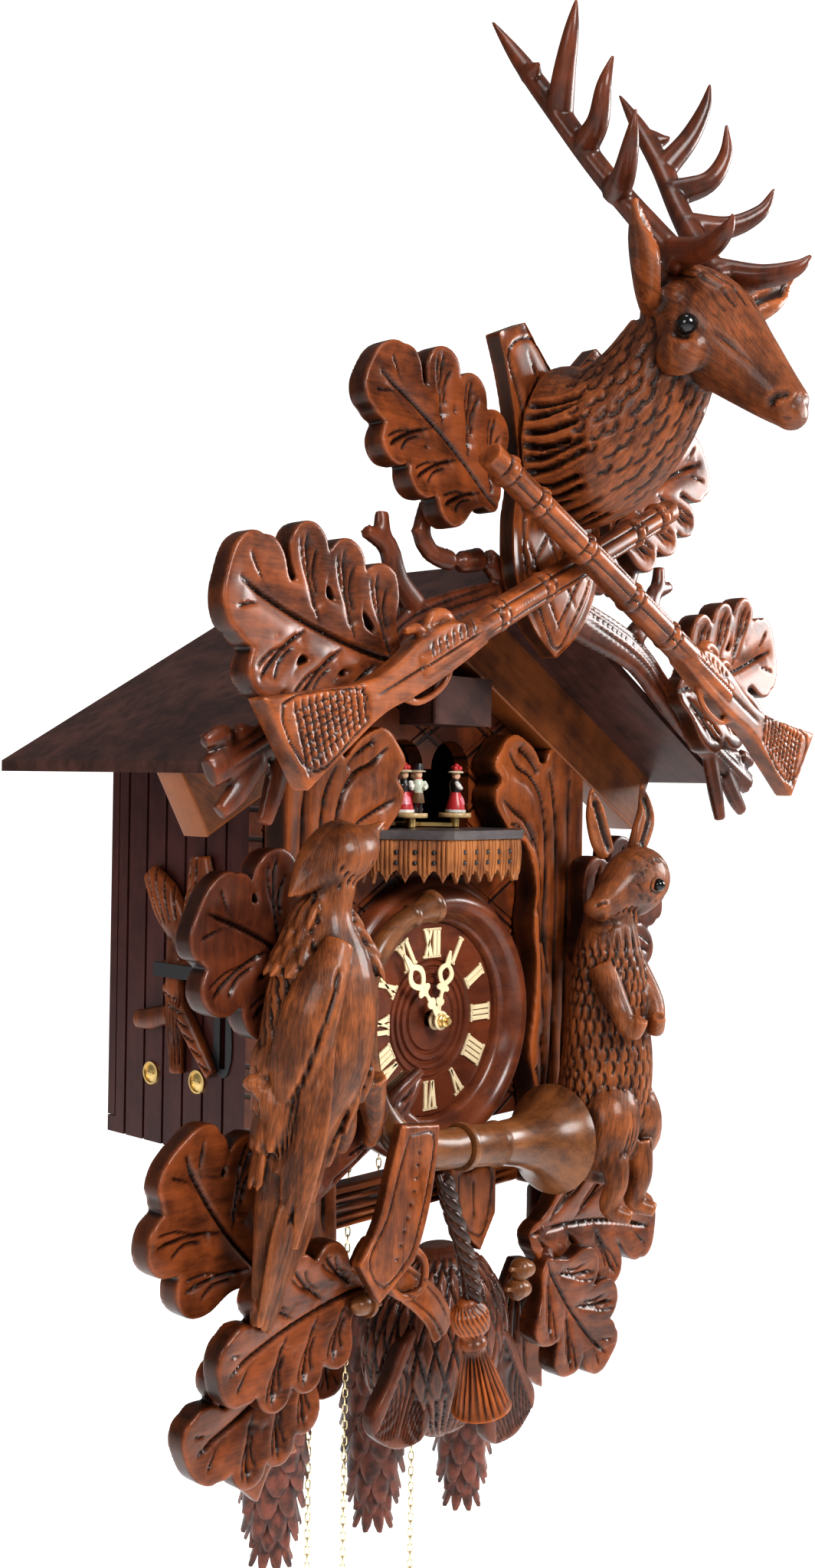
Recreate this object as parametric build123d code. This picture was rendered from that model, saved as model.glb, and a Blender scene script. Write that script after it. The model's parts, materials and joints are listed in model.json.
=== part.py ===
"""Carved hunting cuckoo clock for wall hanging, in millimetres.

Frame: X to the right of someone facing the dial, Y back into the wall, Z up.
The origin is the centre of the wall-hanger hole on the case's back face, so the wall is Y = 0
and everything that faces the room has a negative Y.
"""
import math
import os

from build123d import *

# ---- case -------------------------------------------------------------------------------
CASE_WIDTH = 287.0
CASE_DEPTH = 144.0
CASE_BOTTOM_Z = -297.0
EAVE_Z = -66.0
SIDE_THICK = 12.0
FRONT_THICK = 12.0
BACK_THICK = 8.0
BACK_DOOR_THICK = 7.0
BACK_PIN_INSET = 2.5
BOTTOM_THICK = 10.0
HANGER_RADIUS = 4.5
HANGER_BOARD_DROP = 58.0
GROOVE_PITCH = 18.9
GROOVE_WIDTH = 2.2
GROOVE_DEPTH = 1.5

# ---- roof and gable ---------------------------------------------------------------------
ROOF_SIDE_OVERHANG = 83.5
ROOF_FRONT_OVERHANG = 80.0
ROOF_PITCH = 29.7
ROOF_EDGE = 6.5
TRIM_WIDTH = 40.0
TRIM_THICK = 24.0

# ---- cuckoo door, arches and balcony ----------------------------------------------------
DOOR_WIDTH = 54.0
DOOR_TOP_Z = -1.0
DOOR_HEIGHT = 31.0
DOOR_THICK = 4.0
DOOR_BOX_DEPTH = 27.0
DOOR_BOX_WALL = 5.0
ARCH_OFFSET = 23.0
ARCH_RADIUS = 19.0
ARCH_CROWN_Z = -41.0
DECK_TOP_Z = -98.5
DECK_THICK = 5.5
DECK_HALF_WIDTH = 68.0
DECK_FRONT_HALF = 34.0
DECK_DEPTH = 54.0
DECK_SIDE_DEPTH = 20.0
VALANCE_HEIGHT = 26.0
VALANCE_THICK = 5.0
VALANCE_INSET = 2.0

# ---- dial and hands ---------------------------------------------------------------------
DIAL_Z = -222.5
DIAL_RING_OUTER = 92.0
DIAL_RING_INNER = 63.0
DIAL_RING_HEIGHT = 24.0
DIAL_PLATE_THICK = 6.0
NUMERAL_RADIUS = 49.5
NUMERAL_HEIGHT = 18.5
NUMERAL_THICK = 1.6
CENTRE_ARBOR_RADIUS = 2.0
HOUR_PIPE_RADIUS = 3.6
RUNNING_CLEARANCE = 0.05
MINUTE_LENGTH = 59.0
HOUR_LENGTH = 46.5
HAND_THICK = 1.5
MINUTE_ANGLE = -39.0
HOUR_ANGLE = 17.0
HAND_GAP = 3.0
NUT_RADIUS = 4.2
NUT_THICK = 4.5

# ---- carved front frame -----------------------------------------------------------------
FRAME_THICK = 22.0
FRAME_BOTTOM_Z = -345.0
BEAM_HEIGHT = 27.0
BEAM_THICK = 17.0
BEAM_HALF = 98.0

# ---- crown ------------------------------------------------------------------------------
CROWN_THICK = 12.0
SHIELD_THICK = 14.0
SHIELD_HALF_TOP = 58.0
SHIELD_TOP_Z = 205.0
SHIELD_TIP_Z = 8.0
LEAF_THICK = 14.0
BARREL_RADIUS = 9.0
RIFLE_MUZZLE = (104.0, 111.0)
RIFLE_BUTT = (246.0, -56.0)
STOCK_THICK = 16.0
EYE_RADIUS = 6.0

# ---- movement, chains and weights -------------------------------------------------------
PLATE_THICK = 1.5
PLATE_FRONT_Y = -117.0
PLATE_SPACING = 46.0
PLATE_TOP_Z = -190.0
PLATE_BOTTOM_Z = -282.0
PILLAR_RADIUS = 3.0
WHEEL_Z = -246.0
WHEEL_ARBOR_RADIUS = 1.6
WHEEL_THICK = 7.0
CHAIN_Y = -94.0
CHAIN_DIAMETER = 4.0
CHAIN_HOLE_RADIUS = 5.0
# name: (sprocket centre X, pitch radius, side on which the weight hangs, cone's lowest Z)
TRAINS = {
    "left": (-65.0, 16.0, -1, -557.0),
    "centre": (-1.5, 14.5, 1, -564.0),
    "right": (78.5, 27.5, 1, -580.0),
}
CONE_LENGTH = 170.0
CONE_RADIUS = 24.0
HOOK_HEIGHT = 20.0
HOOK_WIRE = 1.6
FREE_CHAIN_END_Z = -712.0
HANK_LENGTH = 80.0
HANK_WIDTH = 26.0
HANK_DEPTH = 28.0
RING_RADIUS = 8.0
RING_WIRE = 1.3

# ---- pendulum ---------------------------------------------------------------------------
PENDULUM_Y = -52.0
PENDULUM_X = 4.0
PENDULUM_PIVOT_Z = -150.0
PENDULUM_SLOT_HALF = 30.0
BOB_Z = -448.0
BOB_HALF_WIDTH = 27.0
BOB_LENGTH = 96.0
ROD_WIDTH = 7.0
ROD_THICK = 3.0

# ---- silencing lever --------------------------------------------------------------------
SLOT_Y = -112.5
SLOT_TOP_Z = -160.0
SLOT_BOTTOM_Z = -243.0
SLOT_WIDTH = 5.0
LEVER_Z = -186.0
LEVER_HEIGHT = 8.5
LEVER_THICK = 2.4
LEVER_REACH = 52.0
LEVER_STANDOFF = 13.0
LEVER_TAIL = 8.0

# ---- dancers ----------------------------------------------------------------------------
CAROUSEL_Y = -128.5
CAROUSEL_RADIUS = 30.5
COUPLE_DISC_RADIUS = 11.0
COUPLE_HEIGHT = 38.0
CAROUSEL_ANGLE = 45.0

# ---- values that follow -----------------------------------------------------------------
half_width = CASE_WIDTH / 2
front_y = -CASE_DEPTH
roof_half = half_width + ROOF_SIDE_OVERHANG
roof_front_y = front_y - ROOF_FRONT_OVERHANG
roof_slope = math.tan(math.radians(ROOF_PITCH))
crown_y = roof_front_y
shield_y = crown_y - CROWN_THICK
frame_y = front_y - FRAME_THICK
plate_back_y = PLATE_FRONT_Y + PLATE_SPACING


def roof_under(x):
    """Height of the roof's underside at a distance x from the middle."""
    return EAVE_Z + (roof_half - abs(x)) * roof_slope


ridge_z = roof_under(0) + ROOF_EDGE
inner_half = half_width - SIDE_THICK
inner_front_y = front_y + FRONT_THICK


# ---- helpers ----------------------------------------------------------------------------
def block(x0, x1, y0, y1, z0, z1):
    """Box between two corners."""
    centre = ((x0 + x1) / 2, (y0 + y1) / 2, (z0 + z1) / 2)
    return Pos(*centre) * Box(abs(x1 - x0), abs(y1 - y0), abs(z1 - z0))


def rod(start, end, radius):
    """Cylinder between two points."""
    start, end = Vector(*start), Vector(*end)
    plane = Plane(origin=start, z_dir=end - start)
    return extrude(plane * Circle(radius), amount=(end - start).length)


def outline(points):
    """Closed face through (u, v) points; a third value bows the edge that leaves the point."""
    edges = []
    for index, point in enumerate(points):
        following = points[(index + 1) % len(points)]
        start, end = Vector(*point[:2]), Vector(*following[:2])
        if len(point) == 3:
            across = (end - start).rotate(Axis.Z, 90).normalized()
            middle = (start + end) / 2 + across * point[2]
            edges.append(Edge.make_three_point_arc(start, middle, end))
        else:
            edges.append(Edge.make_line(start, end))
    return make_face(Wire(edges))


def front_board(points, back, thickness):
    """Board parallel to the dial, drawn as (x, z) points, from Y = back towards the room."""
    plane = Plane(origin=(0, back, 0), x_dir=(1, 0, 0), z_dir=(0, -1, 0))
    return extrude(plane * outline(points), amount=thickness)


def side_board(points, inner_x, thickness):
    """Board parallel to the case's left side, drawn as (y, z) points, growing towards -X."""
    plane = Plane(origin=(inner_x, 0, 0), x_dir=(0, -1, 0), z_dir=(-1, 0, 0))
    return extrude(plane * outline([(-p[0],) + tuple(p[1:]) for p in points]), amount=thickness)


def tapered(points, radii):
    """Round limb whose radius changes from point to point."""
    points = [Vector(*p) for p in points]
    sections = []
    for index, point in enumerate(points):
        before = points[max(index - 1, 0)]
        after = points[min(index + 1, len(points) - 1)]
        sections.append(Plane(origin=point, z_dir=after - before) * Circle(radii[index]))
    return loft(sections, ruled=True)


def barrel_loft(stations):
    """Body through elliptical stations: (point, half width along X, half height)."""
    points = [Vector(*s[0]) for s in stations]
    sections = []
    for index, (point, wide, high) in enumerate(stations):
        before = points[max(index - 1, 0)]
        after = points[min(index + 1, len(points) - 1)]
        plane = Plane(origin=point, x_dir=(1, 0, 0), z_dir=after - before)
        sections.append(plane * Ellipse(wide, high))
    return loft(sections, ruled=True)


def oak_leaf(base, tip, width, back, lobes=3, thickness=LEAF_THICK):
    """Oak leaf parallel to the dial: round lobes either side of a midrib from base to tip."""
    length = math.dist(base, tip)
    angle = math.atan2(tip[1] - base[1], tip[0] - base[0])
    stem = 0.09 * width
    pitch = 0.74 * length / lobes
    upper = [(0.0, stem)]
    for lobe in range(lobes):
        start = 0.08 * length + lobe * pitch
        swell = math.sin(math.pi * (lobe + 1.1) / (lobes + 1.2))
        reach = width / 2 * (0.55 + 0.45 * swell)
        valley = 0.34 * width / 2 + stem / 2
        lean = 0.28 * pitch
        radius = 0.38 * pitch
        shoulder = max(reach - radius, valley + 1.0)
        upper.append((start, valley * 0.8))
        upper.append((start + 0.12 * pitch + lean, shoulder, radius))
        upper.append((start + 0.88 * pitch + lean, shoulder))
        upper.append((start + pitch, valley))
    last = 0.82 * length
    half_tip = 0.16 * width
    upper.append((last, half_tip, min(length - last, half_tip)))
    lower = [(p[0], -p[1]) for p in upper]
    bows = [p[2] if len(p) == 3 else 0 for p in upper]
    points = []
    for index in range(len(upper)):
        points.append(upper[index][:2] + ((bows[index],) if bows[index] else ()))
    for index in range(len(lower) - 1, -1, -1):
        bow = bows[index - 1] if index else 0
        points.append(lower[index] + ((bow,) if bow else ()))
    plane = Plane(
        origin=(base[0], back, base[1]),
        x_dir=(math.cos(angle), 0, math.sin(angle)),
        z_dir=(0, -1, 0),
    )
    return extrude(plane * outline(points), amount=thickness)


def flip(shape):
    """Mirror image across the middle of the clock."""
    return mirror(shape, about=Plane.YZ)


def save(name, *shapes):
    """Write one node."""
    solids = [solid for shape in shapes for solid in shape.solids()]
    result = solids[0] if len(solids) == 1 else Compound(children=solids)
    export_step(result, f"parts/{name}.step")


os.makedirs("parts", exist_ok=True)

# ---- case -------------------------------------------------------------------------------
def front_panel():
    """Gabled front with two arches, the cuckoo's doorway, the dial hole and a diamond lattice."""
    panel = front_board(
        [
            (-half_width, CASE_BOTTOM_Z),
            (half_width, CASE_BOTTOM_Z),
            (half_width, roof_under(half_width)),
            (0, roof_under(0)),
            (-half_width, roof_under(half_width)),
        ],
        inner_front_y,
        FRONT_THICK,
    )
    arch_spring = ARCH_CROWN_Z - ARCH_RADIUS
    for side in (-1, 1):
        x = side * ARCH_OFFSET
        panel -= block(x - ARCH_RADIUS, x + ARCH_RADIUS, front_y, inner_front_y, DECK_TOP_Z, arch_spring)
        panel -= rod((x, front_y, arch_spring), (x, inner_front_y, arch_spring), ARCH_RADIUS)
    open_half = ARCH_OFFSET + ARCH_RADIUS
    panel -= block(-open_half, open_half, front_y, inner_front_y, DECK_TOP_Z, arch_spring)
    panel -= rod((0, front_y, DIAL_Z), (0, inner_front_y, DIAL_Z), HOUR_PIPE_RADIUS + 6)
    doorway = DOOR_WIDTH / 2 - DOOR_BOX_WALL
    door_floor = DOOR_TOP_Z - DOOR_HEIGHT + DOOR_BOX_WALL
    panel -= block(
        -doorway, doorway, front_y, inner_front_y, door_floor, DOOR_TOP_Z - DOOR_BOX_WALL
    )
    lattice_pitch, lattice_angle, lattice_width = 38.0, 31.0, 1.6
    reach = 3 * half_width
    cutters = []
    for row in range(-8, 9):
        for tilt in (-lattice_angle, lattice_angle):
            bar = Box(reach, 2.4, lattice_width)
            cutters.append(Pos(0, front_y, DIAL_Z + row * lattice_pitch) * Rot(0, tilt, 0) * bar)
    return panel - cutters


def side_panel(side):
    """Grooved side board, its top sloped under the roof."""
    outer, inner = side * half_width, side * inner_half
    panel = front_board(
        [
            (inner, CASE_BOTTOM_Z),
            (outer, CASE_BOTTOM_Z),
            (outer, roof_under(outer)),
            (inner, roof_under(inner)),
        ],
        -BACK_THICK,
        CASE_DEPTH - FRONT_THICK - BACK_THICK,
    )
    y = -GROOVE_PITCH
    while y > inner_front_y + GROOVE_WIDTH:
        panel -= block(
            outer - GROOVE_DEPTH, outer + GROOVE_DEPTH, y, y + GROOVE_WIDTH,
            CASE_BOTTOM_Z, roof_under(inner),
        )
        y -= GROOVE_PITCH
    return panel


lever_slot = block(
    -half_width, -inner_half, SLOT_Y - SLOT_WIDTH / 2, SLOT_Y + SLOT_WIDTH / 2,
    SLOT_BOTTOM_Z, SLOT_TOP_Z,
)
save("case_front", front_panel())
save("case_side_left", side_panel(-1) - lever_slot)
save("case_side_right", side_panel(1))

bottom_top_z = CASE_BOTTOM_Z + BOTTOM_THICK
bottom = block(-inner_half, inner_half, inner_front_y, -BACK_THICK, CASE_BOTTOM_Z, bottom_top_z)
for wheel_x, wheel_radius, _, _ in TRAINS.values():
    for lane in (wheel_x - wheel_radius, wheel_x + wheel_radius):
        bottom -= rod((lane, CHAIN_Y, CASE_BOTTOM_Z), (lane, CHAIN_Y, bottom_top_z), CHAIN_HOLE_RADIUS)
bottom -= block(
    PENDULUM_X - PENDULUM_SLOT_HALF, PENDULUM_X + PENDULUM_SLOT_HALF,
    PENDULUM_Y - 6, PENDULUM_Y + 6, CASE_BOTTOM_Z, bottom_top_z,
)

# The back: a fixed upper board that hangs on the wall and a door on pivot pins below it.
board_bottom_z = -HANGER_BOARD_DROP
pivot_x = half_width - BACK_PIN_INSET
pin_radius = 1.5
pin_length = 6.0
back_board = front_board(
    [
        (-half_width, board_bottom_z),
        (half_width, board_bottom_z),
        (half_width, roof_under(half_width)),
        (0, roof_under(0)),
        (-half_width, roof_under(half_width)),
    ],
    0,
    BACK_THICK,
)
back_board -= rod((0, -BACK_THICK, 0), (0, 0, 0), HANGER_RADIUS)
pin_y = -BACK_PIN_INSET
pin_hole = pin_radius + RUNNING_CLEARANCE
pin_depth = pin_length + 1
back_board -= rod((pivot_x, pin_y, board_bottom_z), (pivot_x, pin_y, board_bottom_z + pin_depth), pin_hole)
ledge = block(-half_width, half_width, -BACK_THICK, 0, CASE_BOTTOM_Z, bottom_top_z)
ledge -= rod((pivot_x, pin_y, bottom_top_z - pin_depth), (pivot_x, pin_y, bottom_top_z), pin_hole)
door_gap = 0.8
back_door = block(
    -half_width, half_width, -BACK_DOOR_THICK, 0, bottom_top_z + door_gap, board_bottom_z - door_gap
)
back_door += rod(
    (pivot_x, pin_y, bottom_top_z - pin_length), (pivot_x, pin_y, board_bottom_z + pin_length), pin_radius
)
save("case_bottom", bottom + ledge)
save("case_back", back_board)
save("back_door", back_door)


def roof_board(side):
    """Sloping roof board, its ridge edge cut plumb."""
    return front_board(
        [
            (0, ridge_z - ROOF_EDGE),
            (side * roof_half, EAVE_Z),
            (side * roof_half, EAVE_Z + ROOF_EDGE),
            (0, ridge_z),
        ],
        0,
        -roof_front_y,
    )


def gable_trim(side):
    """Barge board under the roof's front edge, its lower end cut square."""
    unit_x = side * math.cos(math.radians(ROOF_PITCH))
    unit_z = -math.sin(math.radians(ROOF_PITCH))
    drop = TRIM_WIDTH / math.cos(math.radians(ROOF_PITCH))
    run = roof_half - 4
    end = (side * run, roof_under(run))
    corner = (end[0] + side * unit_z * TRIM_WIDTH, end[1] - abs(unit_x) * TRIM_WIDTH)
    return front_board(
        [(0, roof_under(0)), end, corner, (0, roof_under(0) - drop)], front_y, TRIM_THICK
    )


save("roof_left", roof_board(-1))
save("roof_right", roof_board(1))
save("gable_trim", gable_trim(-1), gable_trim(1))

# ---- cuckoo's doorway -------------------------------------------------------------------
door_half = DOOR_WIDTH / 2
door_bottom_z = DOOR_TOP_Z - DOOR_HEIGHT
box_front_y = front_y - DOOR_BOX_DEPTH
surround = block(-door_half, door_half, box_front_y, front_y, door_bottom_z, DOOR_TOP_Z)
surround -= block(
    -door_half + DOOR_BOX_WALL, door_half - DOOR_BOX_WALL, box_front_y, front_y,
    door_bottom_z + DOOR_BOX_WALL, DOOR_TOP_Z - DOOR_BOX_WALL,
)
trim_notch = [gable_trim(-1), gable_trim(1)]
save("door_surround", surround - trim_notch)
hinge_y = box_front_y - 0.4 - DOOR_THICK / 2
door = block(
    -door_half + 2, door_half, box_front_y - 0.4 - DOOR_THICK, box_front_y - 0.4,
    door_bottom_z, DOOR_TOP_Z,
)
door += rod((-door_half + 1.2, hinge_y, door_bottom_z), (-door_half + 1.2, hinge_y, DOOR_TOP_Z), 2.0)
save("cuckoo_door", door)

cuckoo_z = (door_bottom_z + DOOR_TOP_Z) / 2
cuckoo_tail_y = front_y + 20
cuckoo_beak_y = box_front_y + 5
cuckoo = barrel_loft([
    ((0, cuckoo_tail_y, cuckoo_z), 2.5, 1.5),
    ((0, cuckoo_tail_y - 16, cuckoo_z), 5.5, 4.0),
    ((0, cuckoo_beak_y + 14, cuckoo_z), 7.0, 6.5),
    ((0, cuckoo_beak_y + 5, cuckoo_z + 2), 5.0, 5.0),
    ((0, cuckoo_beak_y, cuckoo_z + 2), 1.0, 1.0),
])
cuckoo += rod((0, cuckoo_tail_y - 10, cuckoo_z), (0, cuckoo_tail_y - 10, cuckoo_z - 10), 1.2)
save("cuckoo", cuckoo)

# ---- balcony ----------------------------------------------------------------------------
def bay(inset, back=front_y):
    """Plan of the balcony: straight sides, two splayed facets and a front facet."""
    side_y = front_y - DECK_SIDE_DEPTH
    nose_y = front_y - DECK_DEPTH + inset
    wide = DECK_HALF_WIDTH - inset
    narrow = DECK_FRONT_HALF - inset * math.tan(math.radians(22.5))
    return [(-wide, back), (-wide, side_y), (-narrow, nose_y), (narrow, nose_y), (wide, side_y), (wide, back)]


def upright(points, bottom, top):
    """Prism from a plan."""
    return extrude(Plane(origin=(0, 0, bottom)) * outline(points), amount=top - bottom)


deck_bottom_z = DECK_TOP_Z - DECK_THICK
valance_bottom_z = deck_bottom_z - VALANCE_HEIGHT
save("balcony_deck", upright(bay(0), deck_bottom_z, DECK_TOP_Z))
valance = upright(bay(VALANCE_INSET), valance_bottom_z, deck_bottom_z)
valance -= upright(bay(VALANCE_INSET + VALANCE_THICK), valance_bottom_z, deck_bottom_z)
save("balcony_valance", valance)

# ---- dial -------------------------------------------------------------------------------
dial_axis = Axis((0, 0, DIAL_Z), (0, 1, 0))


def turned(points):
    """Ring or disc turned about the dial's axis from (radius, y) points."""
    face = Plane(origin=(0, 0, DIAL_Z)) * outline(points)
    return revolve(face, dial_axis)


ring_y = front_y - DIAL_RING_HEIGHT
ring_span = DIAL_RING_OUTER - DIAL_RING_INNER
crown_radius = DIAL_RING_INNER + 0.42 * ring_span
dial_ring = turned([
    (DIAL_RING_INNER, front_y),
    (DIAL_RING_OUTER, front_y),
    (DIAL_RING_OUTER, front_y - 0.3 * DIAL_RING_HEIGHT, 5.0),
    (crown_radius, ring_y, 3.0),
    (DIAL_RING_INNER, front_y - 0.35 * DIAL_RING_HEIGHT),
])
dial_y = front_y - DIAL_PLATE_THICK
pipe_hole = HOUR_PIPE_RADIUS + 1.5
dial_plate = turned([
    (pipe_hole, front_y),
    (DIAL_RING_INNER - 0.2, front_y),
    (DIAL_RING_INNER - 0.2, dial_y),
    (pipe_hole, dial_y),
])
for groove_radius in (22.0, 28.0, 33.0, 37.5):
    dial_plate -= turned([
        (groove_radius - 1.2, dial_y), (groove_radius + 1.2, dial_y), (groove_radius, dial_y + 1.4),
    ])
save("dial_ring", dial_ring)
save("dial_plate", dial_plate)


def numeral(hour):
    """Roman numeral with serif bars, its foot towards the dial's centre."""
    spelling = ["XII", "I", "II", "III", "IIII", "V", "VI", "VII", "VIII", "IX", "X", "XI"][hour]
    widths = {"I": 3.6, "V": 8.0, "X": 8.0}
    stroke, thin = 2.4, 1.5
    total = sum(widths[letter] for letter in spelling)
    lean = math.atan2(5.0, NUMERAL_HEIGHT)
    cursor = -total / 2
    glyph = None
    for letter in spelling:
        middle = cursor + widths[letter] / 2
        marks = {
            "I": [(0.0, 0.0, stroke)],
            "V": [(-1.7, lean, stroke), (1.7, -lean, thin)],
            "X": [(0.0, lean, stroke), (0.0, -lean, thin)],
        }[letter]
        for shift, tilt, width in marks:
            bar = Rot(0, 0, math.degrees(tilt)) * Rectangle(width, NUMERAL_HEIGHT - 1)
            bar = Pos(middle + shift, 0) * bar
            glyph = bar if glyph is None else glyph + bar
        cursor += widths[letter]
    for end in (-1, 1):
        glyph += Pos(0, end * (NUMERAL_HEIGHT / 2 - 0.6)) * Rectangle(total, 1.2)
    angle = math.radians(30 * hour)
    plane = Plane(
        origin=(NUMERAL_RADIUS * math.sin(angle), dial_y, DIAL_Z + NUMERAL_RADIUS * math.cos(angle)),
        x_dir=(math.cos(angle), 0, -math.sin(angle)),
        z_dir=(0, -1, 0),
    )
    return extrude(plane * glyph, amount=NUMERAL_THICK)


save("numerals", *[numeral(hour) for hour in range(12)])


def hand(length, degrees, back, hub, bore):
    """Flat hand with a swelling near its tip, turned clockwise from twelve."""
    blade = [
        (-2.0, 0.0), (-3.2, 0.30 * length), (-2.2, 0.48 * length), (-6.0, 0.60 * length),
        (-2.0, 0.70 * length), (-1.0, length), (1.0, length), (2.0, 0.70 * length),
        (6.0, 0.60 * length), (2.2, 0.48 * length), (3.2, 0.30 * length), (2.0, 0.0),
    ]
    angle = math.radians(degrees)
    plane = Plane(
        origin=(0, back, DIAL_Z), x_dir=(math.cos(angle), 0, -math.sin(angle)), z_dir=(0, -1, 0)
    )
    sketch = outline([(-x, y) for x, y in blade]) + Circle(hub)
    return extrude(plane * (sketch - Circle(bore)), amount=HAND_THICK)


hour_y = dial_y - NUMERAL_THICK - HAND_GAP
minute_y = hour_y - HAND_THICK - HAND_GAP
pipe_bore = CENTRE_ARBOR_RADIUS + RUNNING_CLEARANCE
pipe_back_y = PLATE_FRONT_Y - PLATE_THICK - 0.5
hour_pipe = rod((0, pipe_back_y, DIAL_Z), (0, hour_y - HAND_THICK, DIAL_Z), HOUR_PIPE_RADIUS)
hour_pipe -= rod((0, pipe_back_y, DIAL_Z), (0, hour_y - HAND_THICK, DIAL_Z), pipe_bore)
save("hour_hand", hand(HOUR_LENGTH, HOUR_ANGLE, hour_y, 6.5, HOUR_PIPE_RADIUS), hour_pipe)
save("minute_hand", hand(MINUTE_LENGTH, MINUTE_ANGLE, minute_y, 6.0, CENTRE_ARBOR_RADIUS))
nut_y = minute_y - HAND_THICK
arbor_end_y = nut_y - NUT_THICK - 2
centre_arbor = rod((0, plate_back_y + 6, DIAL_Z), (0, arbor_end_y, DIAL_Z), CENTRE_ARBOR_RADIUS)
hand_nut = rod((0, nut_y, DIAL_Z), (0, nut_y - NUT_THICK, DIAL_Z), NUT_RADIUS)
hand_nut -= rod((0, nut_y, DIAL_Z), (0, nut_y - NUT_THICK, DIAL_Z), CENTRE_ARBOR_RADIUS)
save("centre_arbor", centre_arbor)
save("hand_nut", hand_nut)

# ---- movement ---------------------------------------------------------------------------
wheel_reach = max(abs(x) + r for x, r, _, _ in TRAINS.values()) + 12
arbor_hole = WHEEL_ARBOR_RADIUS + RUNNING_CLEARANCE


def movement_plate(front):
    """Brass plate whose front face is at Y = front, bored for the arbors."""
    plate = block(-wheel_reach, wheel_reach, front, front + PLATE_THICK, PLATE_BOTTOM_Z, PLATE_TOP_Z)
    plate -= rod((0, front, DIAL_Z), (0, front + PLATE_THICK, DIAL_Z), pipe_bore)
    for x, _, _, _ in TRAINS.values():
        plate -= rod((x, front, WHEEL_Z), (x, front + PLATE_THICK, WHEEL_Z), arbor_hole)
    return plate


pillars = []
for x in (-wheel_reach + 6, wheel_reach - 6):
    for z in (PLATE_BOTTOM_Z + 6, PLATE_TOP_Z - 6):
        pillars.append(rod((x, PLATE_FRONT_Y, z), (x, plate_back_y, z), PILLAR_RADIUS))
movement_frame = movement_plate(PLATE_FRONT_Y - PLATE_THICK) + pillars + movement_plate(plate_back_y)

for name, (x, radius, _, _) in TRAINS.items():
    wheel_front = CHAIN_Y - WHEEL_THICK / 2
    rim = radius - CHAIN_DIAMETER / 2 - 0.6
    arbor = [(x, y, WHEEL_Z) for y in (PLATE_FRONT_Y - PLATE_THICK, plate_back_y + PLATE_THICK)]
    wheel = rod((x, wheel_front, WHEEL_Z), (x, wheel_front + WHEEL_THICK, WHEEL_Z), rim)
    wheel += rod(*arbor, WHEEL_ARBOR_RADIUS)
    save(f"chain_wheel_{name}", wheel)

# ---- weights and chains -----------------------------------------------------------------
spare_chain = 120.0
for name, (x, radius, side, low_z) in TRAINS.items():
    lane = x + side * radius
    cone_top = low_z + CONE_LENGTH
    profile = Plane(origin=(lane, CHAIN_Y, low_z), x_dir=(1, 0, 0), z_dir=(0, -1, 0)) * outline([
        (0, 0),
        (0.45 * CONE_RADIUS, 0.02 * CONE_LENGTH, -2.0),
        (0.88 * CONE_RADIUS, 0.22 * CONE_LENGTH, -2.0),
        (CONE_RADIUS, 0.50 * CONE_LENGTH, -3.0),
        (0.62 * CONE_RADIUS, 0.92 * CONE_LENGTH, -1.5),
        (0.25 * CONE_RADIUS, CONE_LENGTH),
        (0, CONE_LENGTH),
    ])
    cone = revolve(profile, Axis((lane, CHAIN_Y, 0), (0, 0, 1)))
    eye_radius = 5.0
    eye_z = cone_top + HOOK_HEIGHT - eye_radius - HOOK_WIRE
    cone += rod((lane, CHAIN_Y, cone_top - 1), (lane, CHAIN_Y, eye_z - eye_radius), HOOK_WIRE)
    cone += Pos(lane, CHAIN_Y, eye_z) * Rot(90, 0, 0) * Torus(eye_radius, HOOK_WIRE)
    save(f"weight_{name}", cone)

    hook_top = cone_top + HOOK_HEIGHT
    chain_radius = CHAIN_DIAMETER / 2
    save(
        f"chain_{name}_weight_side",
        rod((lane, CHAIN_Y, hook_top), (lane, CHAIN_Y, WHEEL_Z + spare_chain), chain_radius),
    )

    free_lane = x - side * radius
    wrap = CenterArc((0, 0, 0), radius, 90, side * 90)
    plane = Plane(origin=(x, CHAIN_Y, WHEEL_Z), x_dir=(1, 0, 0), z_dir=(0, -1, 0))
    top_of_wheel = Plane(origin=(x, CHAIN_Y, WHEEL_Z + radius), z_dir=(-side, 0, 0))
    free_chain = sweep(top_of_wheel * Circle(chain_radius), path=plane * wrap)
    free_chain += rod((free_lane, CHAIN_Y, WHEEL_Z), (free_lane, CHAIN_Y, FREE_CHAIN_END_Z), chain_radius)
    save(f"chain_{name}_free_side", free_chain)
    print(name, "free chain arc radius", radius, "straight", round(WHEEL_Z - FREE_CHAIN_END_Z))

hanks = []
rings = []
for x, radius, side, _ in TRAINS.values():
    free_lane = x - side * radius
    hank = block(
        free_lane - HANK_WIDTH / 2, free_lane + HANK_WIDTH / 2,
        CHAIN_Y - HANK_DEPTH / 2, CHAIN_Y + HANK_DEPTH / 2,
        FREE_CHAIN_END_Z - HANK_LENGTH, FREE_CHAIN_END_Z,
    )
    hanks.append(fillet(hank.edges().filter_by(Axis.Z), 6))
    ring_z = FREE_CHAIN_END_Z - HANK_LENGTH - RING_RADIUS - RING_WIRE
    rings.append(Pos(free_lane, CHAIN_Y, ring_z) * Rot(90, 0, 0) * Torus(RING_RADIUS, RING_WIRE))
save("chain_hanks", *hanks)
save("chain_rings", *rings)

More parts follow.
